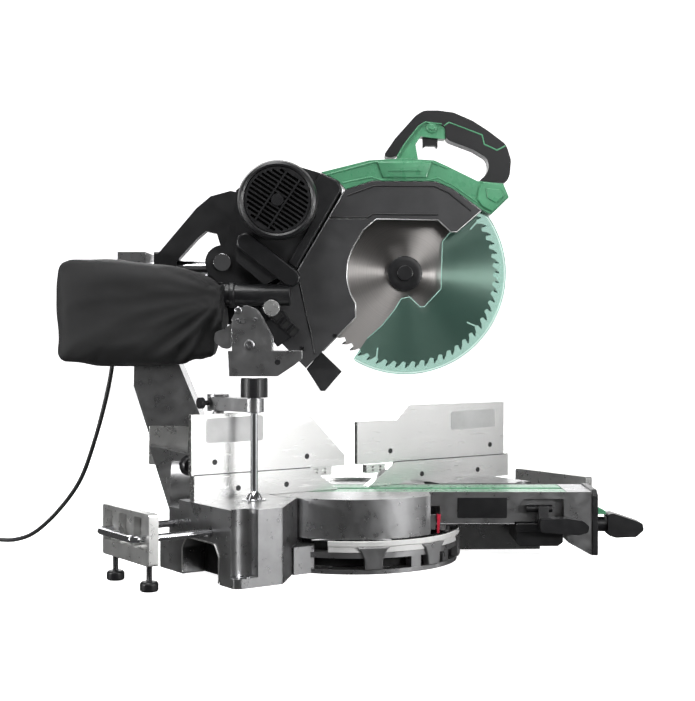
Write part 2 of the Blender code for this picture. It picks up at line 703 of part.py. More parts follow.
def gear_case():
    """The black casting that carries motor, spindle and guards."""
    shell = [(-236, 461), (-203, 507), (-196, 548), (-186, 586), (-150, 612), (-100, 627), (-53, 613),
             (-25, 600), (-18.5, 588), (-91.5, 461), (-141, 428), (-205, 428)]
    mount = [(-186, 474), (-186, 586), (-150, 612), (-100, 627), (-53, 613), (-25, 600), (-18.5, 588),
             (-91.5, 461), (-141, 436)]
    plate = [(-186, 470), (-150, 590), (-53, 604), (-28, 587), (-13, 586), (28, 596), (130, 596),
             (158, 584), (196, 552), (178, 505), (135, 488), (108, 470)]
    plate += arc(ARBOR, 36, 0, -100, 8)
    plate += [(40, 432), (8, 384), (-50, 334), (-76, 308), (-114, 346), (-160, 410)]
    body = side("gear_case", shell, -16, 14)
    join(body, side("mount", mount, -45, 0), side("plate", plate, 13, 26))
    cut(body, disc("blade_room", GUARD_CLEAR_R, (-14, -ARBOR[0], ARBOR[1]), (1, 0, 0), 28, 64))
    cut(body, disc("lug_room", 29, (14 - GAP, -HINGE[0], HINGE[1]), (1, 0, 0), 30, 32))
    join(body, disc("hub", 28, (-16, -HINGE[0], HINGE[1]), (1, 0, 0), 29, 32))
    cut(body, disc("pin_bore", 9 + GAP, (-80, -HINGE[0], HINGE[1]), (1, 0, 0), 120, 20))
    cut(body, disc("spindle_bore", 9 + GAP, (5, -ARBOR[0], ARBOR[1]), (1, 0, 0), 30, 20))
    cut(body, disc("rotor_bore", 34, (-60, -MOTOR[0], MOTOR[1]), (1, 0, 0), 66, 28))
    cut(body, disc("shaft_bore", 6 + GAP, (0, -MOTOR[0], MOTOR[1]), (1, 0, 0), 40, 16))
    return body


def motor_housing():
    """The round motor shell with its faceted rim."""
    profile = [(52, 0), (58, 0), (61, 5), (61, 14), (56, 22), (56, 72), (50, 72), (50, 12), (52, 8)]
    return turned("motor_housing", profile, (-118, -MOTOR[0], MOTOR[1]), (1, 0, 0), 40)


def motor_grille():
    """The slotted end cap that the cooling air goes through."""
    grille = disc("motor_grille", 51.4, (-116, -MOTOR[0], MOTOR[1]), (1, 0, 0), 6, 40)
    slope = math.radians(-35)
    for k in range(-4, 5):
        if k == 0:
            continue
        half = math.sqrt(44 ** 2 - (k * 9.6) ** 2)
        corners = [(-half, k * 9.6 - 2.6), (half, k * 9.6 - 2.6), (half, k * 9.6 + 2.6),
                   (-half, k * 9.6 + 2.6)]
        slot = [(MOTOR[0] + a * math.cos(slope) - b * math.sin(slope),
                 MOTOR[1] + a * math.sin(slope) + b * math.cos(slope)) for a, b in corners]
        cut(grille, side("slot", slot, -130, -100))
    return grille


def rotor():
    """Armature, shaft, fan and the small belt pulley."""
    profile = [(0, -92), (6, -92), (6, -72), (30, -72), (30, -2), (6, -2), (6, 32), (13, 32), (13, 50),
               (0, 50)]
    return turned("motor_rotor", profile, (0, -MOTOR[0], MOTOR[1]), (1, 0, 0), 24)


def spindle():
    """Spindle with the large pulley and the inner blade flange."""
    start = BLADE_T / 2 + GAP
    profile = [(0, start), (26, start), (26, 8), (9, 8), (9, 32), (31, 32), (31, 50), (0, 50)]
    return turned("spindle", profile, (0, -ARBOR[0], ARBOR[1]), (1, 0, 0), 32)


def blade():
    """The saw blade with its teeth."""
    teeth = 60
    outline = []
    for k in range(teeth):
        base = 360.0 * k / teeth
        outline += [(BLADE_R - 7, base), (BLADE_R, base + 2.6), (BLADE_R - 1, base + 4.0)]
    points = [(ARBOR[0] + r * math.cos(math.radians(d)), ARBOR[1] + r * math.sin(math.radians(d)))
              for r, d in outline]
    return side("saw_blade", points, -BLADE_T / 2, BLADE_T / 2)


def blade_bolt():
    """Outer flange, washer and bolt."""
    start = BLADE_T / 2 + GAP
    profile = [(0, start), (28, start), (28, start + 6), (20, start + 8), (12, start + 8),
               (12, start + 15), (0, start + 15)]
    return turned("blade_bolt", profile, (0, -ARBOR[0], ARBOR[1]), (-1, 0, 0), 28)


def drive_belt():
    """The ribbed belt round both pulleys."""
    outer = capsule(MOTOR, ARBOR, 13 + GAP + 4, 31 + GAP + 4, 14)
    inner = capsule(MOTOR, ARBOR, 13 + GAP, 31 + GAP, 14)
    return cut(side("drive_belt", outer, 34, 48), side("inside", inner, 20, 60))


def belt_cover():
    """The cover over the belt, open towards the gear case."""
    outer = capsule(MOTOR, ARBOR, 40, 37.5, 14)
    inner = capsule(MOTOR, ARBOR, 37, 36 + GAP, 14)
    return cut(side("belt_cover", outer, 26 + GAP, 56), side("inside", inner, 20, 53))


def guard_housing():
    """The green upper guard, a band over the blade with room for the lower guard."""
    outline = [(-52, 616), (24, 635), (78, 638), (128, 635), (146, 627), (197, 602), (238, 598),
               (247, 576), (219, 548.7), (204, 556), (158, 589.5), (130, 601.5), (30, 602.5),
               (-13, 588.5), (-24, 602)]
    body = side("guard_housing", outline, -30, 24)
    return cut(body, disc("guard_room", GUARD_CLEAR_R, (-14, -ARBOR[0], ARBOR[1]), (1, 0, 0), 28, 64))


def guard_cover():
    """The dark side cover with its window round the blade's centre."""
    outer = [(-14, 587), (30, 601), (130, 600), (157, 588), (202, 554), (164, 520.5), (154, 520.5),
             (134, 539.5), (36, 541), (15, 524)]
    outer += arc((81, 455), 92, 146, 212, 9)
    outer += [(3, 385), (-49, 331), (-76, 304), (-115, 344), (-146, 381), (-165, 412), (-139, 425),
              (-88, 460)]
    cover = side("guard_cover", outer, -34, -15)
    inner = [(-4, 583), (31, 596), (129, 595), (154, 584), (192, 554), (150, 512), (60, 536), (0, 500),
             (-20, 440), (-10, 392), (-53, 338), (-76, 313), (-108, 346), (-139, 384), (-153, 408),
             (-134, 419), (-82, 455)]
    return cut(cover, side("inside", inner, -31, -10))


def lower_guard():
    """The clear swinging guard: two walls and a rim round the blade's lower front."""
    start, end = -121.0, 39.0
    inner = [(-61, -105), (-37, -84), (-17, -59), (-6, -41), (7, -38), (24, -54), (31, -54), (58, -25),
             (60, 51), (74, 67)]
    rim = arc(ARBOR, LOWER_GUARD_R, start, end, 40)
    near = rim + [(ARBOR[0] + a, ARBOR[1] + b) for a, b in reversed(inner)]
    body = side("lower_guard", near, -9, 9)
    space = arc(ARBOR, LOWER_GUARD_R - 2.5, start - 12, end + 12, 44)
    space += arc(ARBOR, 20, end + 12, start - 12, 10)
    hub = pipe("hub", 28.5, 38, (7, -ARBOR[0], ARBOR[1]), (1, 0, 0), 2, 32)
    web = side("web", [(ARBOR[0] + a, ARBOR[1] + b) for a, b in
                       [(-20, -70), (30, -70), (70, -20), (70, 30), (34, 12), (34, -14), (16, -33),
                        (-14, -33)]], 7, 9)
    cut(body, side("space", space, -6.8, 6.8))
    return join(body, hub, web)


def handle_core():
    """The green rear strut of the handle, with the trigger's pocket."""
    outline = [(68, 640), (80, 661), (104, 690), (115, 696.5), (140, 693), (146.5, 688), (146.5, 671),
               (136, 671.5), (107, 675), (99, 663), (103, 639)]
    body = side("handle_core", outline, -15, 15)
    cut(body, side("pocket", [(110.5, 650), (135.5, 650), (135.5, 682), (110.5, 682)], -8.5, 8.5))
    cut(body, disc("button_bore", 5 + GAP, (-30, -125, 689), (1, 0, 0), 60, 16))
    return body


def handle_grip():
    """The dark moulded grip, from behind the trigger over the top to the front foot."""
    outline = [(46, 642), (66, 671), (99, 708), (110, 716.5), (135, 716.5), (160, 713), (190, 700),
               (215, 684), (244, 662), (252, 637), (250.5, 613), (244, 599.5), (200, 603), (211, 612),
               (217, 625), (213.5, 640), (191, 653.5), (147, 670), (147, 689), (140.5, 693.5),
               (115, 697), (103.5, 690.5), (79.5, 661.5), (67.5, 640.5)]
    grip = side("handle_grip", outline, -18, 18)
    soften = grip.modifiers.new("soften", "BEVEL")
    soften.width = 5 * MM
    soften.segments = 2
    soften.limit_method = "ANGLE"
    soften.angle_limit = math.radians(60)
    return grip


def trigger():
    """The squeeze trigger inside the handle's loop."""
    outline = rounded([(111, 657), (116, 661), (130, 661), (135, 656), (135, 676), (111, 676)], 2)
    return side("trigger", outline, -8, 8)


def lock_off_button():
    """The button beside the trigger that frees it."""
    profile = [(0, 0), (4.5, 0), (4.9, 1), (4.9, 41), (4.5, 42), (0, 42)]
    return turned("lock_off_button", profile, (-21, -125, 689), (1, 0, 0), 16)


def dust_duct():
    """The outlet that leads from behind the blade to the bag's neck."""
    profile = [(0, 0), (17, 0), (17, 106), (14, 106), (14, 6), (0, 6)]
    return turned("dust_duct", profile, (-52, 100, 420), (0, 1, 0), 24)


def dust_bag():
    """The closed outer form of the cloth bag, in the place where it hangs."""
    outline = [(-465, 462), (-458, 474), (-438, 480), (-400, 478), (-340, 472), (-280, 464),
               (-228, 452), (-196, 438), (-196, 376), (-212, 352), (-214, 318), (-250, 316),
               (-262, 310), (-420, 309), (-458, 312), (-464, 330)]
    bag = side("dust_bag", rounded(outline, 12, 2), -100, -20)
    soften = bag.modifiers.new("soften", "BEVEL")
    soften.width = 16 * MM
    soften.segments = 2
    soften.limit_method = "ANGLE"
    soften.angle_limit = math.radians(70)
    return cut(bag, disc("neck", 17 + GAP, (-52, 182, 420), (0, 1, 0), 28, 24))


def dust_flap():
    """The rubber deflector behind the blade."""
    return side("dust_flap", [(-52, 330), (-19, 298), (-46, 267), (-53, 267), (-76, 302.5)], -12, 6)


def work_light():
    """The light unit on the guard cover's rear edge."""
    outline = [(-147, 371), (-112, 396), (-86, 364), (-120, 338)]
    return side("work_light", outline, -52, -34 - GAP)


def depth_knob():
    """The depth stop's knob and screw on the guard cover."""
    profile = [(0, 0), (3, 0), (3, 37), (11, 37), (13, 40), (13, 49), (0, 50)]
    return turned("depth_stop_knob", profile, (-34 - GAP, 128, 399), (-1, 0, 0), 12)


# ---------------------------------------------------------------- cord

def to_arm(side_x, reach, height):
    """A point of the arm frame in row coordinates."""
    return (side_x, -reach, height)


def power_cord():
    """The cord from the strain relief down to the coil on the floor."""
    return bar("power_cord", [to_arm(*p) for p in CORD_ROUTE], CORD_R, 2, curved=True)


def cord_coil():
    """The closed outer form of the neat coil on the floor."""
    r0, r1 = COIL_MEAN_R - COIL_HALF_WIDTH, COIL_MEAN_R + COIL_HALF_WIDTH
    profile = [(r0, 0.2), (r1, 0.2), (r1, COIL_HEIGHT), (r0, COIL_HEIGHT)]
    x, reach = COIL_CENTRE
    return turned("cord_coil", profile, (x, -reach, 0), (0, 0, 1), 32)


def power_plug():
    """A two-pin plug that lies on top of the coil."""
    x, reach, z = PLUG_AT
    body = turned("power_plug", [(0, -20), (4.5, -20), (9, -4), (17, 2), (17, 14), (0, 14)],
                  (x, -reach, z), (1, 0, 0), 20)
    for y in (-9.5, 9.5):
        join(body, disc("pin", 2.4, (x + 12, -reach + y, z), (1, 0, 0), 21, 12))
    return body


# ---------------------------------------------------------------- assembly

def build():
    for old in list(bpy.data.objects):
        bpy.data.objects.remove(old)

    bright = material("machined aluminium", CREAM, 0.32, 1.0)
    steel = material("chromed steel", LIGHT_METAL, 0.16, 1.0)
    cast = material("grey casting paint", GREY_PAINT, 0.42, 0.7)
    dark = material("dark casting paint", DARK_PAINT, 0.5, 0.2)
    plastic = material("black plastic", BLACK, 0.45, 0.0)
    green = material("green plastic", GREEN, 0.35, 0.0)
    clear = material("clear green guard", CLEAR_GREEN, 0.08, 0.0)
    red = material("red plastic", RED, 0.4, 0.0)
    cloth = material("black cloth", BLACK, 0.9, 0.0)

    base = Body("base")
    base.add(base_casting(), cast)
    base.add(scale_ring(), bright)
    base.add(fixed_fence(), bright)

    left_shape = [(-296, FENCE_TOP), (-17, FENCE_TOP), (-17, 164), (-82, 229), (-131, 230), (-142, 239),
                  (-296, 238.5)]
    right_shape = [(322, FENCE_TOP), (322, 239), (113, 240), (88, 216.3), (7, 216.3), (7, FENCE_TOP)]
    for name, shape, holes, block_x, knob_x in (
            ("left", left_shape, (-256, -90), (-290, -160), -274),
            ("right", right_shape, (74, 290), (94, 234), 164)):
        fence = Body(name + "_fence", base)
        fence.add(sub_fence(name + "_fence_plate", shape, holes, block_x), bright)
        knob = Body(name + "_fence_knob", fence, (knob_x, 0, FENCE_TOP + 11))
        knob.add(fence_knob(name + "_fence_knob", knob_x), plastic)
        holder = Body(name + "_holder", base)
        holder.add(holder_plate(name + "_holder_plate", name), bright)
        holder.add(holder_rod(name + "_holder_rod", name), steel)
        y0, y1 = HOLDER_Y[name]
        for end, y in (("front", y0 + 14), ("rear", y1 - 28)):
            sign = -1 if name == "left" else 1
            foot = Body(f"{name}_{end}_foot", holder, (HOLDER_X[name] - sign * HOLDER_T / 2, y, 0))
            foot.add(holder_foot(f"{name}_{end}_foot", name, y), plastic)

    vise = Body("vise", base, (*VISE_POST, 0))
    vise.add(vise_arm(), cast)
    screw = Body("vise_clamp_screw", vise, (VISE_POST[0], VISE_POST[1], 253))
    screw.add(vise_clamp_screw(), plastic)
    spindle_body = Body("vise_spindle", vise, (*VISE_ROD, TABLE_Z))
    spindle_body.add(vise_rod(), steel)
    spindle_body.add(vise_bracket(), cast)
    lever = Body("vise_lever", spindle_body, (*VISE_ROD, 378))
    lever.add(vise_lever(), cast)

    table = Body("turntable", base, (0, 0, 0), MITRE_AT_REST)
    table.add(turntable(), cast)
    for name, sign in (("kerf_plate_left", -1), ("kerf_plate_right", 1)):
        table.add(kerf_plate(name, sign), green)
    table.add(pointer(), red)
    table.add(front_cap(), plastic)
    table.add(power_cord(), plastic)
    table.add(cord_coil(), plastic)
    table.add(power_plug(), plastic)
    Body("miter_lock", table, (0, -ARM_REACH[1], 52)).add(lock_handle(), plastic)
    Body("detent_lever", table, (0, -ARM_REACH[1] - 10, 80)).add(detent_lever(), green)
    Body("bevel_lock", table, (-47, -290, 83)).add(bevel_lever(), plastic)

    column = Body("column", table, (0, 0, TABLE_Z))
    column.add(tilt_column(), cast)
    for name, height in RAIL_HEIGHTS.items():
        column.add(rail(name, height), steel)
    column.add(rail_bridge(), plastic)
    column.add(strain_relief(), plastic)

    slide = Body("carriage", column, (RAIL_SIDE, 0, RAIL_HEIGHTS["upper_rail"]))
    slide.add(carriage(), dark)
    slide.add(hinge_pin(), steel)
    Body("slide_lock", slide, (RAIL_SIDE, 200, 434)).add(slide_knob(), plastic)

    head = Body("head", slide, (0, -HINGE[0], HINGE[1]))
    head.add(gear_case(), dark)
    head.add(motor_housing(), plastic)
    head.add(motor_grille(), plastic)
    head.add(drive_belt(), plastic)
    head.add(belt_cover(), dark)
    head.add(guard_housing(), green)
    head.add(guard_cover(), dark)
    head.add(handle_core(), green)
    head.add(handle_grip(), plastic)
    head.add(dust_duct(), plastic)
    head.add(dust_bag(), cloth)
    head.add(dust_flap(), plastic)
    head.add(work_light(), plastic)
    Body("depth_stop", head, (0, 128, 399)).add(depth_knob(), bright)
    Body("trigger", head, (0, -123, 676)).add(trigger(), plastic)
    Body("lock_off", head, (0, -125, 689)).add(lock_off_button(), plastic)
    Body("motor", head, (0, -MOTOR[0], MOTOR[1])).add(rotor(), steel)
    Body("lower_guard", head, (0, -ARBOR[0], ARBOR[1])).add(lower_guard(), clear)
    cutting = Body("blade", head, (0, -ARBOR[0], ARBOR[1]))
    cutting.add(blade(), steel)
    cutting.add(spindle(), steel)
    cutting.add(blade_bolt(), dark)


build()
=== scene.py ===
"""Looks for the sliding mitre saw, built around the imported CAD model.

Lengths are in millimetres unless a name says otherwise. The arm frame is the CAD's: x to the side,
"reach" from the turntable's pivot towards the operator, and height, turned by MITRE_AT_REST.
"""

import json
import math

import bmesh
import bpy
from mathutils import Matrix, Vector, noise


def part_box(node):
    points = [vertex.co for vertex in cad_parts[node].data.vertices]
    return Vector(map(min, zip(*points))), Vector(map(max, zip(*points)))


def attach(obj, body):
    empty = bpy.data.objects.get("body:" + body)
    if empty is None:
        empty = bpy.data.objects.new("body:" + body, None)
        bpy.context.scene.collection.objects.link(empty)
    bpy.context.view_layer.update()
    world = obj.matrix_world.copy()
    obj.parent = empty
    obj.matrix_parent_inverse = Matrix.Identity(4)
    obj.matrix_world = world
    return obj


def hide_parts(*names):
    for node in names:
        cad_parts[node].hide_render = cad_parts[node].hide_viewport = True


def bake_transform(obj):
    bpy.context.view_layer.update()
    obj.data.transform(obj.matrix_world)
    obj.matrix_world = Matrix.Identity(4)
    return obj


MM = 0.001
MITRE_AT_REST = 55.0
WORLD = Matrix.Identity(4)
ARM = Matrix.Rotation(math.radians(MITRE_AT_REST), 4, "Z")

# Places in the arm frame: (reach, height)
ARBOR = (82.5, 456.0)
MOTOR = (-117.0, 564.0)
MOTOR_FACE_X = -118.0
GUARD_WINDOW = [(202, 554), (164, 520.5), (154, 520.5), (134, 539.5), (36, 541), (15, 524)]

# Blade and scale ring
BLADE_R = 152.4
BLADE_TEETH = 60
TEETH_PER_SLOT = 12
PLATE_HALF = 0.95
TIP_HALF = 1.3
RING_EDGE = 168.0
RING_FROM = 221.5
RING_TO = 332.0

# Camera
CAMERA_AT = (-1262.9, -1784.4, 365.7)
CAMERA_TURN = -35.03
CAMERA_LENS = 69.59
CAMERA_SHIFT_Y = -0.030

# Lamps: name, place and target in metres, width, height, power in watts
LIGHTS = [
    ("key", (-1.2, -0.7, 2.6), (0, 0, 0.3), 1.2, 0.9, 34),
    ("front", (-0.7, -2.6, 1.5), (0, 0, 0.35), 1.0, 0.8, 12),
    ("top", (0.1, 0.1, 2.5), (0, 0, 0.2), 1.6, 1.6, 30),
    ("back", (0.9, 2.3, 1.9), (0, 0, 0.3), 2.2, 0.8, 26),
    ("strip_right", (0.42, -2.0, 0.46), (0, 0, 0.45), 0.5, 0.2, 20),
    ("strip_left", (-1.95, 0.25, 0.44), (0, 0, 0.45), 0.5, 0.2, 20),
]
WORLD_STRENGTH = 0.07

# White cards that only reflections see: name, place, turn in degrees, width, low and high edge, strength
CARDS = [
    ("card_back", (1700, 2400), CAMERA_TURN, 5200, (0, 2600), 1.1),
    ("card_right", (760, -1850), 28, 480, (-900, 1700), 0.8),
    ("card_middle", (1420, -1620), 42, 620, (-900, 1700), 0.20),
    ("card_far_right", (2300, -1000), 66, 500, (-900, 1900), 0.9),
    ("card_left", (-1500, 350), 100, 260, (-700, 1700), 1.2),
]

# Cord: its middle line in the arm frame as (x, reach, height), then a coil that ends at the plug
CORD_R = 3.5
CORD_LIE = 3.6
CORD_SPACING = 9.0
CORD_ROUTE = [
    (10.0, -374.8, 372.0),
    (10.0, -382.0, 371.2),
    (9.5, -390.0, 364.0),
    (8.5, -392.5, 350.0),
    (7.0, -391.0, 330.0),
    (7.0, -390.5, 309.0),
    (14.0, -401.0, 258.0),
    (30.0, -423.0, 185.0),
    (50.0, -451.0, 117.0),
    (80.0, -494.0, 62.0),
    (112.0, -540.0, 22.0),
    (136.0, -578.0, 6.0),
    (150.0, -612.0, 3.6),
    (158.0, -640.0, 3.6),
    (163.0, -664.0, 3.6),
    (157.6, -690.0, 3.6),
]
COIL_CENTRE = (205.0, -707.0)
COIL_RADII = (48.6, 33.6)
COIL_TOP_R = 41.0
COIL_LAYER = 7.2
COIL_STEPS = 36
COIL_TURNS = 5.25
TURNS_INWARD = 2.6
CLIMB_AFTER = 2.3
CLIMB_TURNS = 0.6
PLUG_TURNS = 0.42
PLUG_TAIL = (185.0, -748.0, 31.8)

# Dust bag
BAG_NECK = Vector((-52, 196, 420))
BAG_SHRINK = 3.5
BAG_VOXEL = 5.0
BAG_PRESSURE = 1.4
BAG_STEPS = 15
BAG_SWELL = 6.0

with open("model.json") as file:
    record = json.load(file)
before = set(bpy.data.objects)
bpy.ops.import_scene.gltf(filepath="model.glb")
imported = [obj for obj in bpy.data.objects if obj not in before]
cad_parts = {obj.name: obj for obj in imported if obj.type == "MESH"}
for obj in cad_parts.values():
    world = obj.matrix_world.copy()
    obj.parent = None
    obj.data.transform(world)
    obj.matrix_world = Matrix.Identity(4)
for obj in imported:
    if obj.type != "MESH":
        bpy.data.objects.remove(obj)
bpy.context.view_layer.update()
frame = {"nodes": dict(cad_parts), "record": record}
nodes = frame["nodes"]
body_of = {n: body for body, members in frame["record"]["behaviour"]["bodies"].items() for n in members}


# ---------------------------------------------------------------- mesh tools

def finish_mesh(bm, name, matrix):
    """Turn a bmesh in millimetres into an object in metres, in the row frame."""
    bmesh.ops.remove_doubles(bm, verts=bm.verts, dist=0.001)
    bmesh.ops.recalc_face_normals(bm, faces=bm.faces)
    bm.transform(matrix)
    bmesh.ops.scale(bm, vec=(MM, MM, MM), verts=bm.verts)
    mesh = bpy.data.meshes.new(name)
    bm.to_mesh(mesh)
    bm.free()
    made = bpy.data.objects.new(name, mesh)
    bpy.context.collection.objects.link(made)
    return made


def rounded(outline, radius, steps=4):
    """The outline with an arc of about the given radius at each corner that has room for it."""
    out = []
    count = len(outline)
    for i, corner in enumerate(outline):
        here = Vector(corner)
        before = Vector(outline[i - 1]) - here
        after = Vector(outline[(i + 1) % count]) - here
        turn = before.angle(after)
        back = min(radius / math.tan(turn / 2), before.length * 0.45, after.length * 0.45)
        if turn > math.radians(168) or back * math.tan(turn / 2) < 0.2:
            out.append(tuple(here))
            continue
        start = here + before.normalized() * back
        end = here + after.normalized() * back
        for k in range(steps + 1):
            t = k / steps
            out.append(tuple(start * (1 - t) ** 2 + here * 2 * t * (1 - t) + end * t ** 2))
    return out


def oblong(a0, a1, b0, b1):
    """The corners of an upright rectangle."""
    return [(a0, b0), (a1, b0), (a1, b1), (a0, b1)]


def spun(points, centre, degrees):
    """The points turned by an angle, then moved by the centre."""
    c = math.cos(math.radians(degrees))
    s = math.sin(math.radians(degrees))
    return [(centre[0] + a * c - b * s, centre[1] + a * s + b * c) for a, b in points]


def polar(points):
    """Points of (radius, degrees) as (x, y)."""
    return [(r * math.cos(math.radians(d)), r * math.sin(math.radians(d))) for r, d in points]


def extrude(name, outline, low, high, point, matrix=WORLD):
    """A prism: point(a, b, h) places an outline's corner at the height h of the prism."""
    bm = bmesh.new()
    bottom = [bm.verts.new(point(a, b, low)) for a, b in outline]
    top = [bm.verts.new(point(a, b, high)) for a, b in outline]
    bm.faces.new(bottom)
    bm.faces.new(top)
    count = len(outline)
    for i in range(count):
        j = (i + 1) % count
        bm.faces.new((bottom[i], bottom[j], top[j], top[i]))
    return finish_mesh(bm, name, matrix)


def side(name, outline, x0, x1):
    """An outline of (reach, height) in the arm frame, from x0 to x1."""
    return extrude(name, outline, x0, x1, lambda a, b, h: (h, -a, b), ARM)


def plan(name, outline, z0, z1):
    """An outline of (x, y), from z0 to z1."""
    return extrude(name, outline, z0, z1, lambda a, b, h: (a, b, h))


def wall(name, outline, y0, y1, matrix=WORLD):
    """An outline of (x, height), from y0 to y1."""
    return extrude(name, outline, y0, y1, lambda a, b, h: (a, h, b), matrix)


def turned(name, profile, centre, axis, segments=48, matrix=ARM):
    """A body of revolution: profile is (radius, distance along the axis), closed on itself."""
    along = Vector(axis).normalized()
    across = along.orthogonal().normalized()
    third = along.cross(across)
    bm = bmesh.new()
    rings = []
    for radius, distance in profile:
        base = Vector(centre) + along * distance
        if radius < 0.01:
            rings.append([bm.verts.new(base)])
            continue
        ring = []
        for k in range(segments):
            angle = 2 * math.pi * k / segments
            ring.append(bm.verts.new(base + (across * math.cos(angle) + third * math.sin(angle)) * radius))
        rings.append(ring)
    for a, b in zip(rings, rings[1:] + rings[:1]):
        for k in range(segments):
            m = (k + 1) % segments
            if len(a) > 1 and len(b) > 1:
                bm.faces.new((a[k], a[m], b[m], b[k]))
            elif len(b) > 1:
                bm.faces.new((a[0], b[m], b[k]))
            elif len(a) > 1:
                bm.faces.new((a[k], a[m], b[0]))
    return finish_mesh(bm, name, matrix)


def disc(name, radius, centre, axis, length, segments=40, matrix=ARM):
    """A plain round plate."""
    profile = [(0, 0), (radius, 0), (radius, length), (0, length)]
    return turned(name, profile, centre, axis, segments, matrix)


def arc(centre, radius, start, end, steps):
    """Points on an arc between two angles in degrees."""
    out = []
    for k in range(steps + 1):
        angle = math.radians(start + (end - start) * k / steps)
        out.append((centre[0] + radius * math.cos(angle), centre[1] + radius * math.sin(angle)))
    return out


def rod(name, points, radius, matrix=ARM):
    """A round bar along the points, as a mesh."""
    curve = bpy.data.curves.new(name, "CURVE")
    curve.dimensions = "3D"
    curve.bevel_depth = radius * MM
    curve.bevel_resolution = 4
    curve.use_fill_caps = True
    spline = curve.splines.new("POLY")
    spline.points.add(len(points) - 1)
    for slot, point in zip(spline.points, points):
        slot.co = (*(matrix @ Vector(point) * MM), 1)
    source = bpy.data.objects.new(name, curve)
    bpy.context.collection.objects.link(source)
    return applied(source, name)


def smooth_route(points, spacing):
    """Evenly spaced points on a Catmull-Rom curve through the given ones."""
    knots = [Vector(p) for p in points]
    knots = [2 * knots[0] - knots[1]] + knots + [2 * knots[-1] - knots[-2]]
    fine = []
    for a, b, c, d in zip(knots, knots[1:], knots[2:], knots[3:]):
        for k in range(24):
            t = k / 24
            fine.append(0.5 * (2 * b + (c - a) * t + (2 * a - 5 * b + 4 * c - d) * t ** 2
                               + (3 * b - a - 3 * c + d) * t ** 3))
    fine.append(knots[-2])
    out = [fine[0]]
    gone = 0.0
    for p, q in zip(fine, fine[1:]):
        gone += (q - p).length
        if gone >= spacing:
            out.append(q)
            gone = 0.0
    out[-1] = fine[-1]
    return out


def applied(source, name):
    """A mesh object with the source's modifiers or bevel applied; the source is removed."""
    bpy.context.view_layer.update()
    graph = bpy.context.evaluated_depsgraph_get()
    mesh = bpy.data.meshes.new_from_object(source.evaluated_get(graph), depsgraph=graph)
    mesh.name = name
    made = bpy.data.objects.new(name, mesh)
    bpy.context.collection.objects.link(made)
    bpy.data.objects.remove(source)
    made.name = name
    return made


def soften(obj, width=1.0, segments=2, angle=28.0):
    """Round the sharp edges over a width in millimetres, and keep the flat faces flat."""
    obj.data.shade_smooth()
    step = obj.modifiers.new("soften", "BEVEL")
    step.width = width * MM
    step.segments = segments
    step.limit_method = "ANGLE"
    step.angle_limit = math.radians(angle)
    flat = obj.modifiers.new("flat_faces", "WEIGHTED_NORMAL")
    flat.mode = "FACE_AREA"
    flat.weight = 100
    flat.keep_sharp = True
    return applied(obj, obj.name)


def cut(target, *tools):
    """The target with the tools taken away from it."""
    for tool in tools:
        step = target.modifiers.new("boolean", "BOOLEAN")
        step.operation = "DIFFERENCE"
        step.solver = "EXACT"
        step.object = tool
        target = applied(target, target.name)
        bpy.data.objects.remove(tool)
    return target


def gather(name, parts):
    """One object from several separate ones, such as a row of screws."""
    bm = bmesh.new()
    for part in parts:
        bm.from_mesh(part.data)
        bpy.data.objects.remove(part)
    mesh = bpy.data.meshes.new(name)
    bm.to_mesh(mesh)
    bm.free()
    mesh.shade_smooth()
    mesh.set_sharp_from_angle(angle=math.radians(38))
    made = bpy.data.objects.new(name, mesh)
    bpy.context.collection.objects.link(made)
    return made


def show(obj, body, look, slot, *replaced):
    """Give a piece its material and its body, and hide the CAD nodes it stands for."""
    obj.data.materials.clear()
    obj.data.materials.append(look)
    if replaced:
        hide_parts(*replaced)
    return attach(obj, body)


def refine(node, look, width, slot, segments=2, merge=True):
    """The CAD node's own shape with its facets merged and its edges rounded."""
    bm = bmesh.new()
    bm.from_mesh(nodes[node].data)
    bmesh.ops.remove_doubles(bm, verts=bm.verts, dist=1e-6)
    if merge:
        bmesh.ops.dissolve_limit(bm, angle_limit=math.radians(1.5), verts=bm.verts, edges=bm.edges)
    mesh = bpy.data.meshes.new(node + "_look")
    bm.to_mesh(mesh)
    bm.free()
    made = bpy.data.objects.new(node + "_look", mesh)
    bpy.context.collection.objects.link(made)
    made = soften(made, width, segments)
    return show(made, body_of[node], look, slot, node)


# ---------------------------------------------------------------- materials

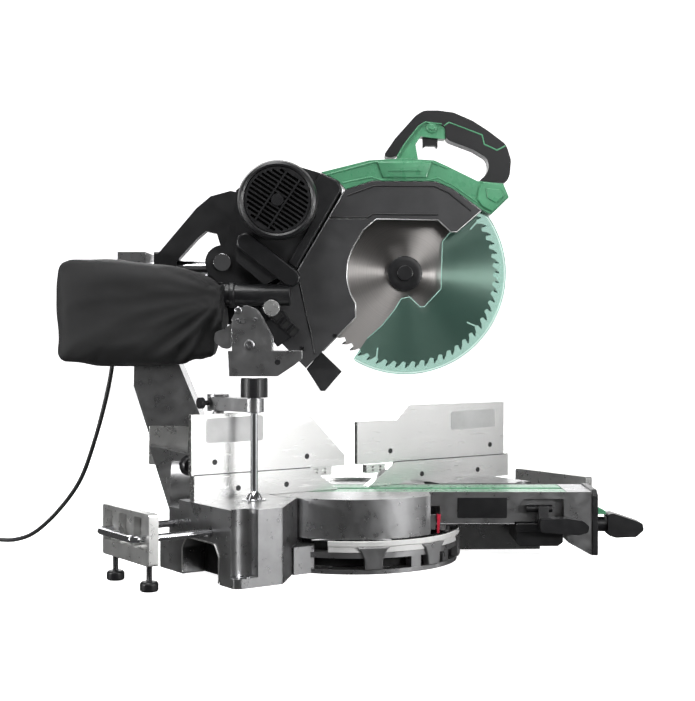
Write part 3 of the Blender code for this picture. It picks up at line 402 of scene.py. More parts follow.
class Look:
    """A Principled material that is built up from procedural layers."""

    def __init__(self, name, colour, roughness, metallic=0.0, **constants):
        """Constants are further sockets, with underscores for the spaces in their names."""
        self.made = bpy.data.materials.new(name)
        self.made.use_nodes = True
        self.tree = self.made.node_tree
        self.shader = self.tree.nodes["Principled BSDF"]
        self.colour = colour
        self.shader.inputs["Base Color"].default_value = (*colour, 1.0)
        self.shader.inputs["Roughness"].default_value = roughness
        self.shader.inputs["Metallic"].default_value = metallic
        for socket, value in constants.items():
            self.shader.inputs[socket.replace("_", " ")].default_value = value
        self.height = None
        self.place = self.tree.nodes.new("ShaderNodeTexCoord").outputs["Object"]

    def node(self, kind, **settings):
        """A new shader node with its settings."""
        made = self.tree.nodes.new(kind)
        for key, value in settings.items():
            setattr(made, key, value)
        return made

    def link(self, source, target):
        """Join an output to an input."""
        self.tree.links.new(source, target)

    def field(self, size_mm, detail=3.0, stretch=(1, 1, 1), turn=0.0):
        """Noise with features of about the given size; stretch lengthens them along an axis."""
        turned_place = self.node("ShaderNodeMapping")
        turned_place.inputs["Rotation"].default_value = (0, 0, math.radians(-turn))
        self.link(self.place, turned_place.inputs["Vector"])
        mapping = self.node("ShaderNodeMapping")
        mapping.inputs["Scale"].default_value = [1 / s for s in stretch]
        self.link(turned_place.outputs["Vector"], mapping.inputs["Vector"])
        texture = self.node("ShaderNodeTexNoise")
        texture.inputs["Scale"].default_value = 1000.0 / size_mm
        texture.inputs["Detail"].default_value = detail
        texture.inputs["Roughness"].default_value = 0.6
        self.link(mapping.outputs["Vector"], texture.inputs["Vector"])
        return texture.outputs["Fac"]

    def spread(self, source, low, high, start=0.3, end=0.7):
        """Map a noise value from start..end to low..high."""
        ramp = self.node("ShaderNodeMapRange")
        for socket, value in (("From Min", start), ("From Max", end), ("To Min", low), ("To Max", high)):
            ramp.inputs[socket].default_value = value
        self.link(source, ramp.inputs["Value"])
        return ramp.outputs["Result"]

    def vary_colour(self, source, low, high, start=0.3, end=0.7, tint=None):
        """Brighten and darken the base colour with a noise value."""
        mix = self.node("ShaderNodeMix", data_type="RGBA")
        second = tint or self.colour
        mix.inputs["A"].default_value = (*[c * low for c in self.colour], 1)
        mix.inputs["B"].default_value = (*[min(1.0, c * high) for c in second], 1)
        self.link(self.spread(source, 0, 1, start, end), mix.inputs["Factor"])
        self.link(mix.outputs["Result"], self.shader.inputs["Base Color"])

    def vary_roughness(self, source, low, high, start=0.3, end=0.7):
        """Change the roughness from low to high with a noise value."""
        self.link(self.spread(source, low, high, start, end), self.shader.inputs["Roughness"])

    def relief(self, source, depth_mm, strength=1.0):
        """Bump of the given depth; later calls stack on earlier ones."""
        bump = self.node("ShaderNodeBump")
        bump.inputs["Strength"].default_value = strength
        bump.inputs["Distance"].default_value = depth_mm * MM
        self.link(source, bump.inputs["Height"])
        if self.height:
            self.link(self.height, bump.inputs["Normal"])
        self.height = bump.outputs["Normal"]
        self.link(self.height, self.shader.inputs["Normal"])


def cast_metal(name, colour, roughness, metallic=0.75):
    """A casting: a fine grain, and a slow change of colour and sheen."""
    look = Look(name, colour, roughness, metallic)
    look.vary_colour(look.field(45, 4), 0.88, 1.12)
    look.vary_roughness(look.field(18, 5), roughness - 0.06, roughness + 0.09)
    look.relief(look.field(1.3, 2), 0.03, 0.3)
    return look.made


def milled_metal(name, colour, roughness, turn=0.0):
    """Machined aluminium: long fine tool lines and a few dull patches."""
    look = Look(name, colour, roughness, 1.0)
    lines = look.field(0.9, 3, (90, 1, 1), turn)
    look.vary_colour(look.field(60, 3), 0.95, 1.03)
    look.vary_roughness(look.field(5, 4, (12, 1, 1), turn), roughness - 0.02, roughness + 0.05)
    look.relief(lines, 0.004, 0.4)
    return look.made


def polished_metal(name, colour, roughness):
    """Polished or plated metal with faint handling marks."""
    look = Look(name, colour, roughness, 1.0)
    look.vary_roughness(look.field(12, 5), roughness, roughness + 0.08)
    look.relief(look.field(25, 2), 0.02, 0.3)
    return look.made


def moulded_plastic(name, colour, roughness, grain=0.9, depth=0.05):
    """Moulded plastic with a spark-eroded grain."""
    look = Look(name, colour, roughness)
    look.vary_colour(look.field(40, 4), 0.85, 1.15)
    look.vary_roughness(look.field(14, 4), roughness - 0.05, roughness + 0.08)
    look.relief(look.field(grain, 2), depth, 0.6)
    return look.made


def clear_plastic():
    """The tinted clear guard: a sheet that tints what is behind it, with sharp reflections."""
    look = Look("clear_guard", (0.10, 0.20, 0.165), 0.08, IOR=1.5)
    look.vary_roughness(look.field(10, 5), 0.06, 0.18)
    look.relief(look.field(60, 2), 0.03, 0.2)
    through = look.node("ShaderNodeBsdfTransparent")
    through.inputs["Color"].default_value = (0.845, 0.935, 0.905, 1)
    sheet = look.node("ShaderNodeMixShader")
    sheet.inputs["Fac"].default_value = 0.16
    look.link(through.outputs["BSDF"], sheet.inputs[1])
    look.link(look.shader.outputs["BSDF"], sheet.inputs[2])
    look.link(sheet.outputs["Shader"], look.tree.nodes["Material Output"].inputs["Surface"])
    return look.made


def blade_steel():
    """Ground steel: rings round the blade's own axis, which is the object's Z."""
    look = Look("blade_steel", (0.46, 0.445, 0.435), 0.30, 1.0, Anisotropic=0.92, Anisotropic_Rotation=0.25)
    tangent = look.node("ShaderNodeTangent", direction_type="RADIAL", axis="Z")
    look.link(tangent.outputs["Tangent"], look.shader.inputs["Tangent"])
    split = look.node("ShaderNodeSeparateXYZ")
    look.link(look.place, split.inputs["Vector"])
    squares = []
    for axis in ("X", "Y"):
        square = look.node("ShaderNodeMath", operation="MULTIPLY")
        look.link(split.outputs[axis], square.inputs[0])
        look.link(split.outputs[axis], square.inputs[1])
        squares.append(square)
    total = look.node("ShaderNodeMath", operation="ADD")
    look.link(squares[0].outputs[0], total.inputs[0])
    look.link(squares[1].outputs[0], total.inputs[1])
    root = look.node("ShaderNodeMath", operation="SQRT")
    look.link(total.outputs[0], root.inputs[0])
    rings = look.node("ShaderNodeTexNoise", noise_dimensions="1D")
    rings.inputs["Scale"].default_value = 900.0
    rings.inputs["Detail"].default_value = 3.0
    look.link(root.outputs[0], rings.inputs["W"])
    look.vary_colour(rings.outputs["Fac"], 0.9, 1.08, 0.3, 0.7, tint=(0.48, 0.455, 0.44))
    look.vary_roughness(rings.outputs["Fac"], 0.28, 0.33)
    return look.made


def woven_cloth():
    """Black bag cloth: a fine weave with dull, dusty variation."""
    look = Look("bag_cloth", (0.0022, 0.0022, 0.0025), 0.72)
    look.shader.inputs["Sheen Weight"].default_value = 0.05
    look.shader.inputs["Sheen Roughness"].default_value = 0.45
    look.shader.inputs["Sheen Tint"].default_value = (0.6, 0.6, 0.62, 1)
    threads = []
    for turn in (45, -45):
        place = look.node("ShaderNodeMapping")
        place.inputs["Rotation"].default_value = (math.radians(turn), 0, math.radians(-MITRE_AT_REST))
        look.link(look.place, place.inputs["Vector"])
        wave = look.node("ShaderNodeTexWave", bands_direction="Z")
        wave.inputs["Scale"].default_value = 260.0
        wave.inputs["Distortion"].default_value = 0.6
        look.link(place.outputs["Vector"], wave.inputs["Vector"])
        threads.append(wave.outputs["Fac"])
    weave = look.node("ShaderNodeMath", operation="MULTIPLY")
    look.link(threads[0], weave.inputs[0])
    look.link(threads[1], weave.inputs[1])
    look.relief(weave.outputs[0], 0.25, 0.6)
    look.relief(look.field(16, 4), 0.6, 0.4)
    look.vary_colour(look.field(35, 5), 0.7, 1.7)
    return look.made


def emitting(name, colour, strength):
    """A surface that gives off light of its own."""
    made = bpy.data.materials.new(name)
    made.use_nodes = True
    shader = made.node_tree.nodes["Principled BSDF"]
    shader.inputs["Base Color"].default_value = (*colour, 1)
    shader.inputs["Roughness"].default_value = 0.8
    shader.inputs["Emission Color"].default_value = (*colour, 1)
    shader.inputs["Emission Strength"].default_value = strength
    return made


# ---------------------------------------------------------------- studio

def set_camera():
    """The camera stands to the left in front of the saw and looks level."""
    camera = bpy.data.cameras.new("camera")
    camera.lens = CAMERA_LENS
    camera.sensor_width = 36.0
    camera.shift_y = CAMERA_SHIFT_Y
    eye = bpy.data.objects.new("camera", camera)
    eye.location = Vector(CAMERA_AT) * MM
    eye.rotation_euler = (math.radians(90), 0, math.radians(CAMERA_TURN))
    bpy.context.collection.objects.link(eye)
    bpy.context.scene.camera = eye


def white_room():
    """A dim world, and a white floor and dome that the camera sees and reflections don't."""
    world = bpy.data.worlds.new("studio")
    world.use_nodes = True
    sky = world.node_tree.nodes["Background"]
    sky.inputs["Color"].default_value = (1.0, 1.0, 1.0, 1)
    sky.inputs["Strength"].default_value = WORLD_STRENGTH
    bpy.context.scene.world = world
    bpy.context.scene.view_settings.view_transform = "Standard"

    floor = plan("floor", arc((0, 0), 7000, 0, 360 - 360 / 64, 63), -4, 0)
    floor.data.materials.append(emitting("floor_white", (0.9, 0.9, 0.9), 0.99))
    floor.visible_glossy = False
    floor.visible_diffuse = False

    dome = [(6900, -50), (6900, 9000), (0.0, 9000), (0.0, 9004), (6904, 9004), (6904, -50)]
    shell = turned("backdrop", dome, (0, 0, 0), (0, 0, 1), 64, WORLD)
    shell.data.materials.append(emitting("backdrop_white", (1.0, 1.0, 1.0), 1.0))
    for ray in ("visible_glossy", "visible_diffuse", "visible_shadow", "visible_transmission"):
        setattr(shell, ray, False)


def hang_cards():
    """The white cards round the saw, which give its metal something to reflect."""
    for name, (x, y), degrees, width, (low, high), strength in CARDS:
        place = Matrix.Translation((x, y, 0)) @ Matrix.Rotation(math.radians(degrees), 4, "Z")
        card = wall(name, oblong(-width / 2, width / 2, low, high), 0, 10, place)
        card.data.materials.append(emitting(name, (1.0, 1.0, 1.0), strength))
        card.visible_camera = False
        card.visible_shadow = False
        card.visible_transmission = False


def set_lamps():
    """Rectangular area lamps, each turned to its target."""
    for name, place, target, width, height, power in LIGHTS:
        lamp = bpy.data.lights.new(name, "AREA")
        lamp.shape = "RECTANGLE"
        lamp.size = width
        lamp.size_y = height
        lamp.energy = power
        holder = bpy.data.objects.new(name, lamp)
        holder.location = place
        holder.rotation_euler = (Vector(target) - Vector(place)).to_track_quat("-Z", "Y").to_euler()
        bpy.context.collection.objects.link(holder)


# ---------------------------------------------------------------- cord

def eased(share):
    """A smooth step from 0 to 1 while the share goes from 0 to 1."""
    inside = min(1.0, max(0.0, share))
    return inside * inside * (3 - 2 * inside)


def coil_route():
    """Turns from the free cord's end: inwards on the floor, back out on top, then onto the plug."""
    cx, cy = COIL_CENTRE
    outer, inner = COIL_RADII
    points = []
    for k in range(1, int(COIL_TURNS * COIL_STEPS)):
        done = k / COIL_STEPS
        angle = math.pi - 2 * math.pi * done
        if done < TURNS_INWARD:
            radius = outer + (inner - outer) * done / TURNS_INWARD
        else:
            radius = inner + (COIL_TOP_R - inner) * (done - TURNS_INWARD) / (COIL_TURNS - TURNS_INWARD)
        on_top = COIL_LAYER * eased((done - CLIMB_AFTER) / CLIMB_TURNS)
        to_plug = PLUG_TAIL[2] - CORD_LIE - COIL_LAYER
        to_plug *= eased((done - COIL_TURNS + PLUG_TURNS) / PLUG_TURNS)
        z = CORD_LIE + on_top + to_plug
        points.append((cx + radius * math.cos(angle), cy - radius * math.sin(angle), z))
    return points + [PLUG_TAIL]


def cords(look):
    """The free power cord and its coil as one tube, from the strain relief to the plug."""
    route = [(x, -reach, z) for x, reach, z in smooth_route(CORD_ROUTE + coil_route(), CORD_SPACING)]
    tube = rod("power_cord_look", route, CORD_R)
    tube.data.materials.append(look)
    tube.data.shade_smooth()
    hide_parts("power_cord", "cord_coil")
    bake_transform(tube)


# ---------------------------------------------------------------- saw blade

def blade_outline():
    """The rim with its teeth, and five expansion slots, as (radius, degrees)."""
    pitch = 360.0 / BLADE_TEETH
    out = []
    for k in range(BLADE_TEETH):
        base = k * pitch
        if k % TEETH_PER_SLOT == TEETH_PER_SLOT // 2:
            out += [(143.5, base - 0.9), (128.0, base - 2.6), (127.0, base - 1.6), (143.5, base + 0.1)]
        out += [(143.8, base + 0.75), (BLADE_R, base), (150.6, base + 1.5), (147.4, base + 3.0),
                (143.6, base + 4.0), (141.8, base + 4.7)]
    return out


def saw_blade(look, tip_look):
    """The blade in its own axes, so that its brushed rings go round the arbor."""
    axes = Matrix.Identity(4)
    for column, vector in enumerate(((0, -1, 0), (0, 0, 1), (-1, 0, 0))):
        axes.col[column] = (*vector, 0)
    axes.translation = Vector((0, -ARBOR[0], ARBOR[1])) * MM
    own = ARM @ axes
    disc_piece = plan("saw_blade_look", polar(blade_outline()), -PLATE_HALF, PLATE_HALF)
    disc_piece.matrix_world = own
    show(disc_piece, "blade", look, "blade_steel", "saw_blade")
    tips = []
    for k in range(BLADE_TEETH):
        base = k * 360.0 / BLADE_TEETH
        shape = [(BLADE_R, base), (BLADE_R - 0.2, base + 0.9), (146.4, base + 1.5), (146.2, base + 0.5)]
        tips.append(plan("tip", polar(shape), -TIP_HALF, TIP_HALF))
    tip_piece = gather("blade_tips", tips)
    tip_piece.matrix_world = own
    show(tip_piece, "blade", tip_look, "blade_steel")


# ---------------------------------------------------------------- motor, guards and handle

def bead(name, points, x, radius, body, look, slot):
    """A raised line over the surface at x, along points of (reach, height)."""
    made = rod(name, [(x, -a, b) for a, b in points], radius)
    made.data.shade_smooth()
    return show(made, body, look, slot)


def screw(name, x, reach, height, radius, sign=-1):
    """A socket-head screw with its axis along x."""
    profile = [(0, 0), (radius, 0), (radius, 1.6), (radius * 0.85, 2.2), (radius * 0.5, 2.2),
               (radius * 0.42, 0.6), (0, 0.6)]
    return turned(name, profile, (x, -reach, height), (sign, 0, 0), 24)


def flat_piece(name, outline, x0, x1, width, segments, body, look, slot, *replaced):
    """A piece cut from flat stock: an outline of (reach, height) from x0 to x1, with rounded edges."""
    made = soften(side(name, outline, x0, x1), width, segments)
    return show(made, body, look, slot, *replaced)


def motor_shell(black):
    """The motor's round housing with a rolled front rim and vents round its upper half."""
    x = MOTOR_FACE_X
    rim = [(51.6, 6), (52, 1), (55, -0.5), (58.5, 1), (61.5, 7), (61.5, 17), (57, 24), (56, 72), (50, 72),
           (50, 14), (51.6, 12)]
    shell = turned("motor_housing_look", rim, (x + 0.5, -MOTOR[0], MOTOR[1]), (1, 0, 0), 64)
    vents = []
    for k in range(11):
        angle = 2 * math.pi * k / 22
        c = math.cos(angle)
        s = math.sin(angle)
        place = (x + 34, -MOTOR[0] + 58 * c, MOTOR[1] + 58 * s)
        vents.append(disc("vent", 2.2, place, (0, -c, -s), 9, 8))
    show(soften(cut(shell, *vents), 0.8), "head", black, "black_plastic", "motor_housing")


def motor_grille(black, dark):
    """The slotted cap with two ribs and a hub, and a near-black disc behind its slots as painted shade."""
    x = MOTOR_FACE_X
    tilt = -33
    grille = disc("motor_grille_look", 51.0, (x + 3, -MOTOR[0], MOTOR[1]), (1, 0, 0), 5, 64)
    slots = []
    for k in range(-6, 7):
        middle = k * 6.9
        half = math.sqrt(47 ** 2 - middle ** 2)
        opening = spun(oblong(-half, half, middle - 2.1, middle + 2.1), MOTOR, tilt)
        slots.append(side("slot", opening, x - 10, x + 20))
    grille = cut(grille, *slots)
    parts = []
    for middle in (-12, 12):
        rib = spun(oblong(middle - 1.3, middle + 1.3, -46, 46), MOTOR, tilt)
        parts.append(side("rib", rib, x + 1, x + 7))
    for name, profile in (("hub", [(0, 0), (9, 0), (10, 1.5), (10, 7), (0, 7)]),
                          ("ring", [(4.4, -0.4), (5.6, -0.4), (5.6, 1), (4.4, 1)])):
        parts.append(turned(name, profile, (x + 0.6, -MOTOR[0], MOTOR[1]), (1, 0, 0), 32))
    show(gather("grille_ribs", parts), "head", black, "black_plastic")
    show(soften(grille, 0.5), "head", black, "black_plastic", "motor_grille")
    # Painted shade: a near-black disc inside the housing, seen through the slots.
    inside = disc("motor_inside_shade", 50, (x + 10, -MOTOR[0], MOTOR[1]), (1, 0, 0), 2, 48)
    show(inside, "head", dark, "black_plastic")


def motor(black, dark):
    """The motor's housing and cap, the capsule cover below it and a facet of the gear case."""
    motor_shell(black)
    motor_grille(black, dark)
    upper, lower = (-170.0, 503.0), (-98.0, 447.0)
    heading = math.degrees(math.atan2(lower[1] - upper[1], lower[0] - upper[0]))
    capsule = arc(upper, 15, heading + 90, heading + 270, 14)
    capsule += arc(lower, 15, heading - 90, heading + 90, 4)
    flat_piece("capsule_cover", capsule, -58, -44, 4.0, 4, "head", black, "black_plastic")
    facet = [(-53, 613), (-25, 600), (-18.5, 588), (-91.5, 461), (-104, 470), (-62, 545), (-66, 590)]
    flat_piece("case_facet", facet, -51, -44, 3.0, 3, "head", black, "black_plastic")


def cover_lines(dark, highlight_look, black):
    """Lines and screws on the dark side cover: light beads as painted highlights along the window, the edge
    and a groove's lower lip, and dark beads as painted shade in the groove, along the top bevel and in a
    crease.
    """
    window = GUARD_WINDOW + arc((81, 455), 92, 146, 212, 12) + [(3, 385), (-49, 331)]
    edge = [(-14.5, 586.5), (-88.5, 460), (-139, 425.6)]
    groove = [(-38, 543.5), (22, 543.5), (30, 549), (134, 548)]
    below_groove = [(a, b - 2.2) for a, b in groove[:2]]
    top = [(-11, 578), (33, 594), (128, 593), (150, 583), (186, 554)]
    crease = [(-88, 457), (-86, 440), (-68, 358), (-62, 326)]
    # Light beads are painted highlights; dark beads are painted shade.
    for name, line, x, radius, look, slot in (
        ("window_edge_highlight", window, -33.6, 1.0, highlight_look, "machined_aluminium"),
        ("cover_edge_highlight", edge, -33.4, 1.1, highlight_look, "machined_aluminium"),
        ("cover_groove_shade", groove, -34.1, 1.5, dark, "dark_casting"),
        ("cover_groove_highlight", below_groove, -34.0, 0.5, highlight_look, "machined_aluminium"),
        ("cover_top_bevel_shade", top, -34.0, 1.3, dark, "dark_casting"),
        ("cover_crease_shade", crease, -33.9, 1.6, dark, "dark_casting"),
    ):
        bead(name, line, x, radius, "head", look, slot)
    screws = [screw("screw", -33.5, reach, height, radius)
              for reach, height, radius in ((-82, 335, 4.5), (-150, 402, 4), (-30, 356, 3.5))]
    show(gather("cover_screws", screws), "head", black, "black_plastic")


def guard_shapes(green):
    """The raised panel, the handle's foot and the ribs on the green guard."""
    panel = soften(side("guard_panel", [(37, 632), (124, 631), (116, 607), (46, 607)], -33.0, -20), 1.6, 3)
    recess = rounded([(52, 618), (108, 618), (104, 611), (56, 611)], 2)
    show(cut(panel, side("slot", recess, -40, -31.4)), "head", green, "green_plastic")
    foot = [(200, 592), (207, 601), (236, 597.5), (245, 577), (221, 552), (204, 561), (196, 572)]
    flat_piece("guard_foot", foot, -35, -17, 3.0, 3, "head", green, "green_plastic")
    block = [(210, 590), (232, 588), (238, 577), (226, 566), (212, 574)]
    flat_piece("guard_foot_boss", block, -37.5, -34, 1.5, 2, "head", green, "green_plastic")
    rib = [(-45, 611), (22, 629), (33, 632), (124, 632), (150, 622)]
    bead("guard_top_rib", rib, -29.5, 1.8, "head", green, "green_plastic")
    rib = [(-18, 599), (28, 608), (44, 603), (118, 603), (134, 607), (160, 594), (206, 561)]
    bead("guard_lower_rib", rib, -29.8, 1.4, "head", green, "green_plastic")


def guard_edge(look):
    """Light beads along the clear guard's outer and inner edges: painted highlights where its thick rim
    catches the light.
    """
    rim = arc(ARBOR, 161.6, 38, -120, 60)
    steps = [(-61, -105), (-37, -84), (-17, -59), (-6, -41), (7, -38), (24, -54), (31, -54), (58, -25),
             (60, 51), (74, 67)]
    inner = [(ARBOR[0] + a, ARBOR[1] + b) for a, b in steps]
    for name, line in (("guard_rim_highlight", rim), ("guard_inner_rim", inner)):
        bead(name, line, -9.0, 0.8, "lower_guard", look, "clear_green")


def grip(look):
    """The moulded grip, whose corners are curves."""
    outline = [(46, 642), (66, 671), (99, 708), (112, 716.3), (135, 716.3), (160, 713), (190, 700),
               (215, 684), (244, 662), (252, 637), (250, 613), (244, 600), (200, 603.5), (211, 612),
               (217, 625), (213.5, 640), (191, 653.5), (147, 670), (147, 689), (140.5, 693.5),
               (115, 697), (103.5, 690.5), (79.5, 661.5), (67.5, 641)]
    shape = side("handle_grip_look", rounded(outline, 22, 5), -18, 18)
    show(soften(shape, 6.0, 4, 40), "head", look, "black_plastic", "handle_grip")


def handle_lines(green):
    """The green inlay lines, the grip's parting line and a boss on the handle."""
    inlay = [(144.5, 691.5), (152.5, 697), (205.3, 677), (209, 662), (229.3, 652.5), (243, 659.5)]
    seam = [(70, 643), (81, 662), (104, 691), (115, 697.5), (141, 694.5)]
    for name, line, x, radius in (("grip_inlay_left", inlay, -17.6, 1.3),
                                  ("grip_inlay_right", inlay, 17.6, 1.3),
                                  ("grip_seam", seam, -17.7, 1.2)):
        bead(name, line, x, radius, "head", green, "green_plastic")
    profile = [(0, 0), (9, 0), (9, 3), (7, 4.5), (0, 4.5)]
    boss = turned("grip_boss", profile, (-14, -125, 689), (-1, 0, 0), 32)
    show(boss, "head", green, "green_plastic")


# ---------------------------------------------------------------- dust bag

def bag_blank():
    """The CAD bag's form, a little smaller, as an even mesh."""
    bm = bmesh.new()
    bm.from_mesh(nodes["dust_bag"].data)
    mesh = bpy.data.meshes.new("bag")
    bm.to_mesh(mesh)
    bm.free()
    bag = bpy.data.objects.new("bag", mesh)
    bpy.context.collection.objects.link(bag)
    shrink = bag.modifiers.new("shrink", "DISPLACE")
    shrink.strength = -BAG_SHRINK * MM
    shrink.mid_level = 0.0
    step = bag.modifiers.new("remesh", "REMESH")
    step.mode = "VOXEL"
    step.voxel_size = BAG_VOXEL * MM
    return applied(bag, "bag")


def blown_up(bag):
    """The bag after a cloth simulation with air pressure inside."""
    sim = bag.modifiers.new("cloth", "CLOTH")
    sim.settings.use_pressure = True
    sim.settings.uniform_pressure_force = BAG_PRESSURE
    sim.settings.tension_stiffness = 12
    sim.settings.compression_stiffness = 12
    sim.settings.bending_stiffness = 0.4
    sim.settings.effector_weights.gravity = 0.0
    sim.settings.quality = 6
    scene = bpy.context.scene
    for number in range(1, BAG_STEPS + 1):
        scene.frame_set(number)
    bag = applied(bag, "bag")
    scene.frame_set(1)
    return bag


def crease_depth(place):
    """How far in millimetres the cloth stands out at a place: folds run out from the neck."""
    away = place - BAG_NECK
    reach = math.hypot(away.y, away.z)
    angle = math.atan2(away.z, away.y)
    ray = noise.noise(Vector((angle * 4.2, reach * 0.006, place.x * 0.02)))
    fine = noise.noise(Vector((angle * 9.0, reach * 0.012, 7.0 + place.x * 0.03)))
    slow = noise.noise(Vector((place.x * 0.02, place.y * 0.014, place.z * 0.018)))
    near = math.exp(-reach / 150)
    depth = (abs(ray) * -9.0 + 2.0) * (0.25 + near) + fine * 3.0 * (0.3 + near) + slow * 4.0
    pinch = 1.0 / (1.0 + math.exp((reach - 42) / 9))
    return min(depth, 3.5) - 3.0 * pinch


def dust_bag(cloth, black):
    """A slack cloth bag: the CAD form, blown up by a cloth simulation, then creased from its neck."""
    bag = bag_blank()
    before = [v.co.copy() for v in bag.data.vertices]
    bag = blown_up(bag)
    for vertex, start in zip(bag.data.vertices, before):
        move = vertex.co - start
        if move.length > BAG_SWELL * MM:
            move = move.normalized() * BAG_SWELL * MM
        vertex.co = start + move
    bag.data.update()
    to_arm = ARM.inverted()
    normals = [v.normal.copy() for v in bag.data.vertices]
    for vertex, normal in zip(bag.data.vertices, normals):
        vertex.co += normal * crease_depth(to_arm @ vertex.co / MM) * MM
    bag.data.update()
    smooth = bag.modifiers.new("smooth", "SMOOTH")
    smooth.factor = 0.5
    smooth.iterations = 2
    sub = bag.modifiers.new("sub", "SUBSURF")
    sub.levels = 1
    sub.render_levels = 1
    bag = applied(bag, "dust_bag_look")
    bag.data.shade_smooth()
    show(bag, "head", cloth, "black_cloth", "dust_bag")
    clamp = turned("bag_collar", [(17.4, 0), (19.5, 0), (20, 2), (20, 7), (19.5, 9), (17.4, 9)],
                   (-52, 187, 420), (0, 1, 0), 40)
    show(clamp, "head", black, "black_plastic")


# ---------------------------------------------------------------- fences, base and small parts

def fence_labels(label):
    """The blank plates on the fence faces."""
    left = [(-271, 195), (-171, 195), (-171, 234), (-271, 232)]
    right = [(203, 195), (301, 197), (300, 228), (203, 226)]
    for name, outline in (("left_fence", left), ("right_fence", right)):
        plate = wall(name + "_label", rounded(outline, 5), -0.35, 0.2)
        show(plate, name, label, "machined_aluminium")


def dots(name, xs, z, body, look):
    """A row of black discs on a fence face: painted shade in its screw holes."""
    profile = [(0, 0), (4.3, 0), (4.3, 0.4), (0, 0.4)]
    # Painted shade: each hole is a flat black disc on the face.
    holes = [turned("hole", profile, (x, -0.2, z), (0, 1, 0), 20, WORLD) for x in xs]
    show(gather(name, holes), body, look, "black_plastic")


def fence_guide(name, low, high, z, look):
    """The slotted guide block behind a sliding fence's inner end."""
    guide = wall(name + "_guide", rounded(oblong(low, high, z, z + 14.5), 1.5), 6, 17)
    slots = [wall("slot", oblong(x, x + 8, z + h, z + h + 3), 0, 9)
             for x in (low + 7, low + 22) for h in (3, 8.5)]
    show(soften(cut(guide, *slots), 0.5), name, look, "machined_aluminium")


def fences(label, metal, black):
    """The plates, the screw holes and seams drawn as black painted shade, and the guide blocks of the
    fences.
    """
    fence_labels(label)
    dots("fence_holes", (-215, -128, 140, 262), 124.4, "base", black)
    dots("left_fence_holes", (-256, -90), 166, "left_fence", black)
    dots("right_fence_holes", (74, 290), 166, "right_fence", black)
    for name, (x0, x1), (low, high), z in (("left_fence", (-291, -84), (-80, -38), 133.0),
                                           ("right_fence", (84, 332), (30, 68), 131.0)):
        # Painted shade: a thin black strip along the joint of the fence plates.
        seam = wall(name + "_seam", oblong(x0, x1, 147.4, 148.6), -0.25, 2)
        show(seam, "base", black, "black_plastic")
        fence_guide(name, low, high, z, metal)


def foot_threads(steel):
    """Rolled threads on the four feet."""
    for name in ("left_front_foot", "left_rear_foot", "right_front_foot", "right_rear_foot"):
        low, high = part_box(name)
        middle = (low + high) / 2 / MM
        profile = [(0, 14.5)]
        z = 15.0
        while z < 49.0:
            profile += [(3.5, z), (4.15, z + 0.6), (3.5, z + 1.2)]
            z += 1.4
        profile += [(0, z)]
        thread = turned(name + "_thread", profile, (middle.x, middle.y, 0), (0, 0, 1), 24, WORLD)
        show(thread, name, steel, "chromed_steel")


def ring_face(look):
    """The light face along the front of the scale ring."""
    rim = [(RING_EDGE + 0.2, 41.5), (RING_EDGE + 1.4, 42.5), (RING_EDGE + 1.4, 49), (RING_EDGE + 0.2, 50)]
    angles = [math.radians(RING_FROM + (RING_TO - RING_FROM) * k / 60) for k in range(61)]
    bm = bmesh.new()
    rings = [[bm.verts.new((r * math.cos(a), r * math.sin(a), z)) for r, z in rim] for a in angles]
    for one, two in zip(rings, rings[1:]):
        for k in range(4):
            m = (k + 1) % 4
            bm.faces.new((one[k], one[m], two[m], two[k]))
    bm.faces.new(rings[0])
    bm.faces.new(rings[-1])
    show(finish_mesh(bm, "ring_face", WORLD), "base", look, "machined_aluminium")


def base_details(cast, ring, shade_and_lens_black, chrome):
    """Flared legs under the scale ring, a near-black band behind them as painted shade, and the bench
    bolts' washers.
    """
    # Painted shade: a near-black band behind the legs, under the scale ring.
    skirt = turned("base_skirt_shade", oblong(139, 141, 8, 45), (0, 0, 0), (0, 0, 1), 64, WORLD)
    show(skirt, "base", shade_and_lens_black, "dark_casting")
    leg = [(-25, 41), (25, 41), (19, 34), (14, 22), (13, 7), (-13, 7), (-14, 22), (-19, 34)]
    legs = []
    for degrees in (-115, -79, -45, 60, 100):
        place = Matrix.Rotation(math.radians(degrees), 4, "Z")
        legs.append(extrude("leg", leg, 158, 170.5, lambda a, b, h: (h, a, b), place))
    show(soften(gather("flared_legs", legs), 1.5), "base", cast, "grey_casting")
    ring_face(ring)
    caps = [turned("bolt", [(5.6, 0), (11, 0), (11, 1.6), (5.6, 1.6)], (x, y, 14.2), (0, 0, 1), 24, WORLD)
            for x, y in ((-281, -126), (281, -96))]
    show(gather("bolt_washers", caps), "base", chrome, "grey_casting")


def column_details(plate, shade_and_lens_black):
    """The milled knuckle half-way up the column, near-black plates as painted shade inside the hand holds,
    and light beads as painted highlights round their edges.
    """
    knuckle = rounded([(-329, 211), (-265, 209.7), (-268.5, 147), (-330, 148.5)], 3)
    flat_piece("column_knuckle", knuckle, -6.4, 40, 1.2, 2, "column", plate, "grey_casting")
    hold = rounded([(-91, 0.5), (-91, 40), (-78, 57), (6, 57), (19, 40), (19, 0.5)], 8)
    for name, x0, x1, edge in (("left", -263.0, -262.2, -300.6), ("right", 262.2, 263.0, 300.6)):
        # Painted shade: a near-black plate inside each hand hold.
        inside = extrude(name + "_hold_shade", hold, x0, x1, lambda a, b, h: (h, a, b))
        show(inside, "base", shade_and_lens_black, "dark_casting")
        # Painted highlight: a bead in a lighter metal along the hold's rim.
        lip = rod(name + "_hold_lip_highlight", [(edge, a, b) for a, b in hold if b > 1], 1.3, WORLD)
        lip.data.shade_smooth()
        show(lip, "base", plate, "grey_casting")


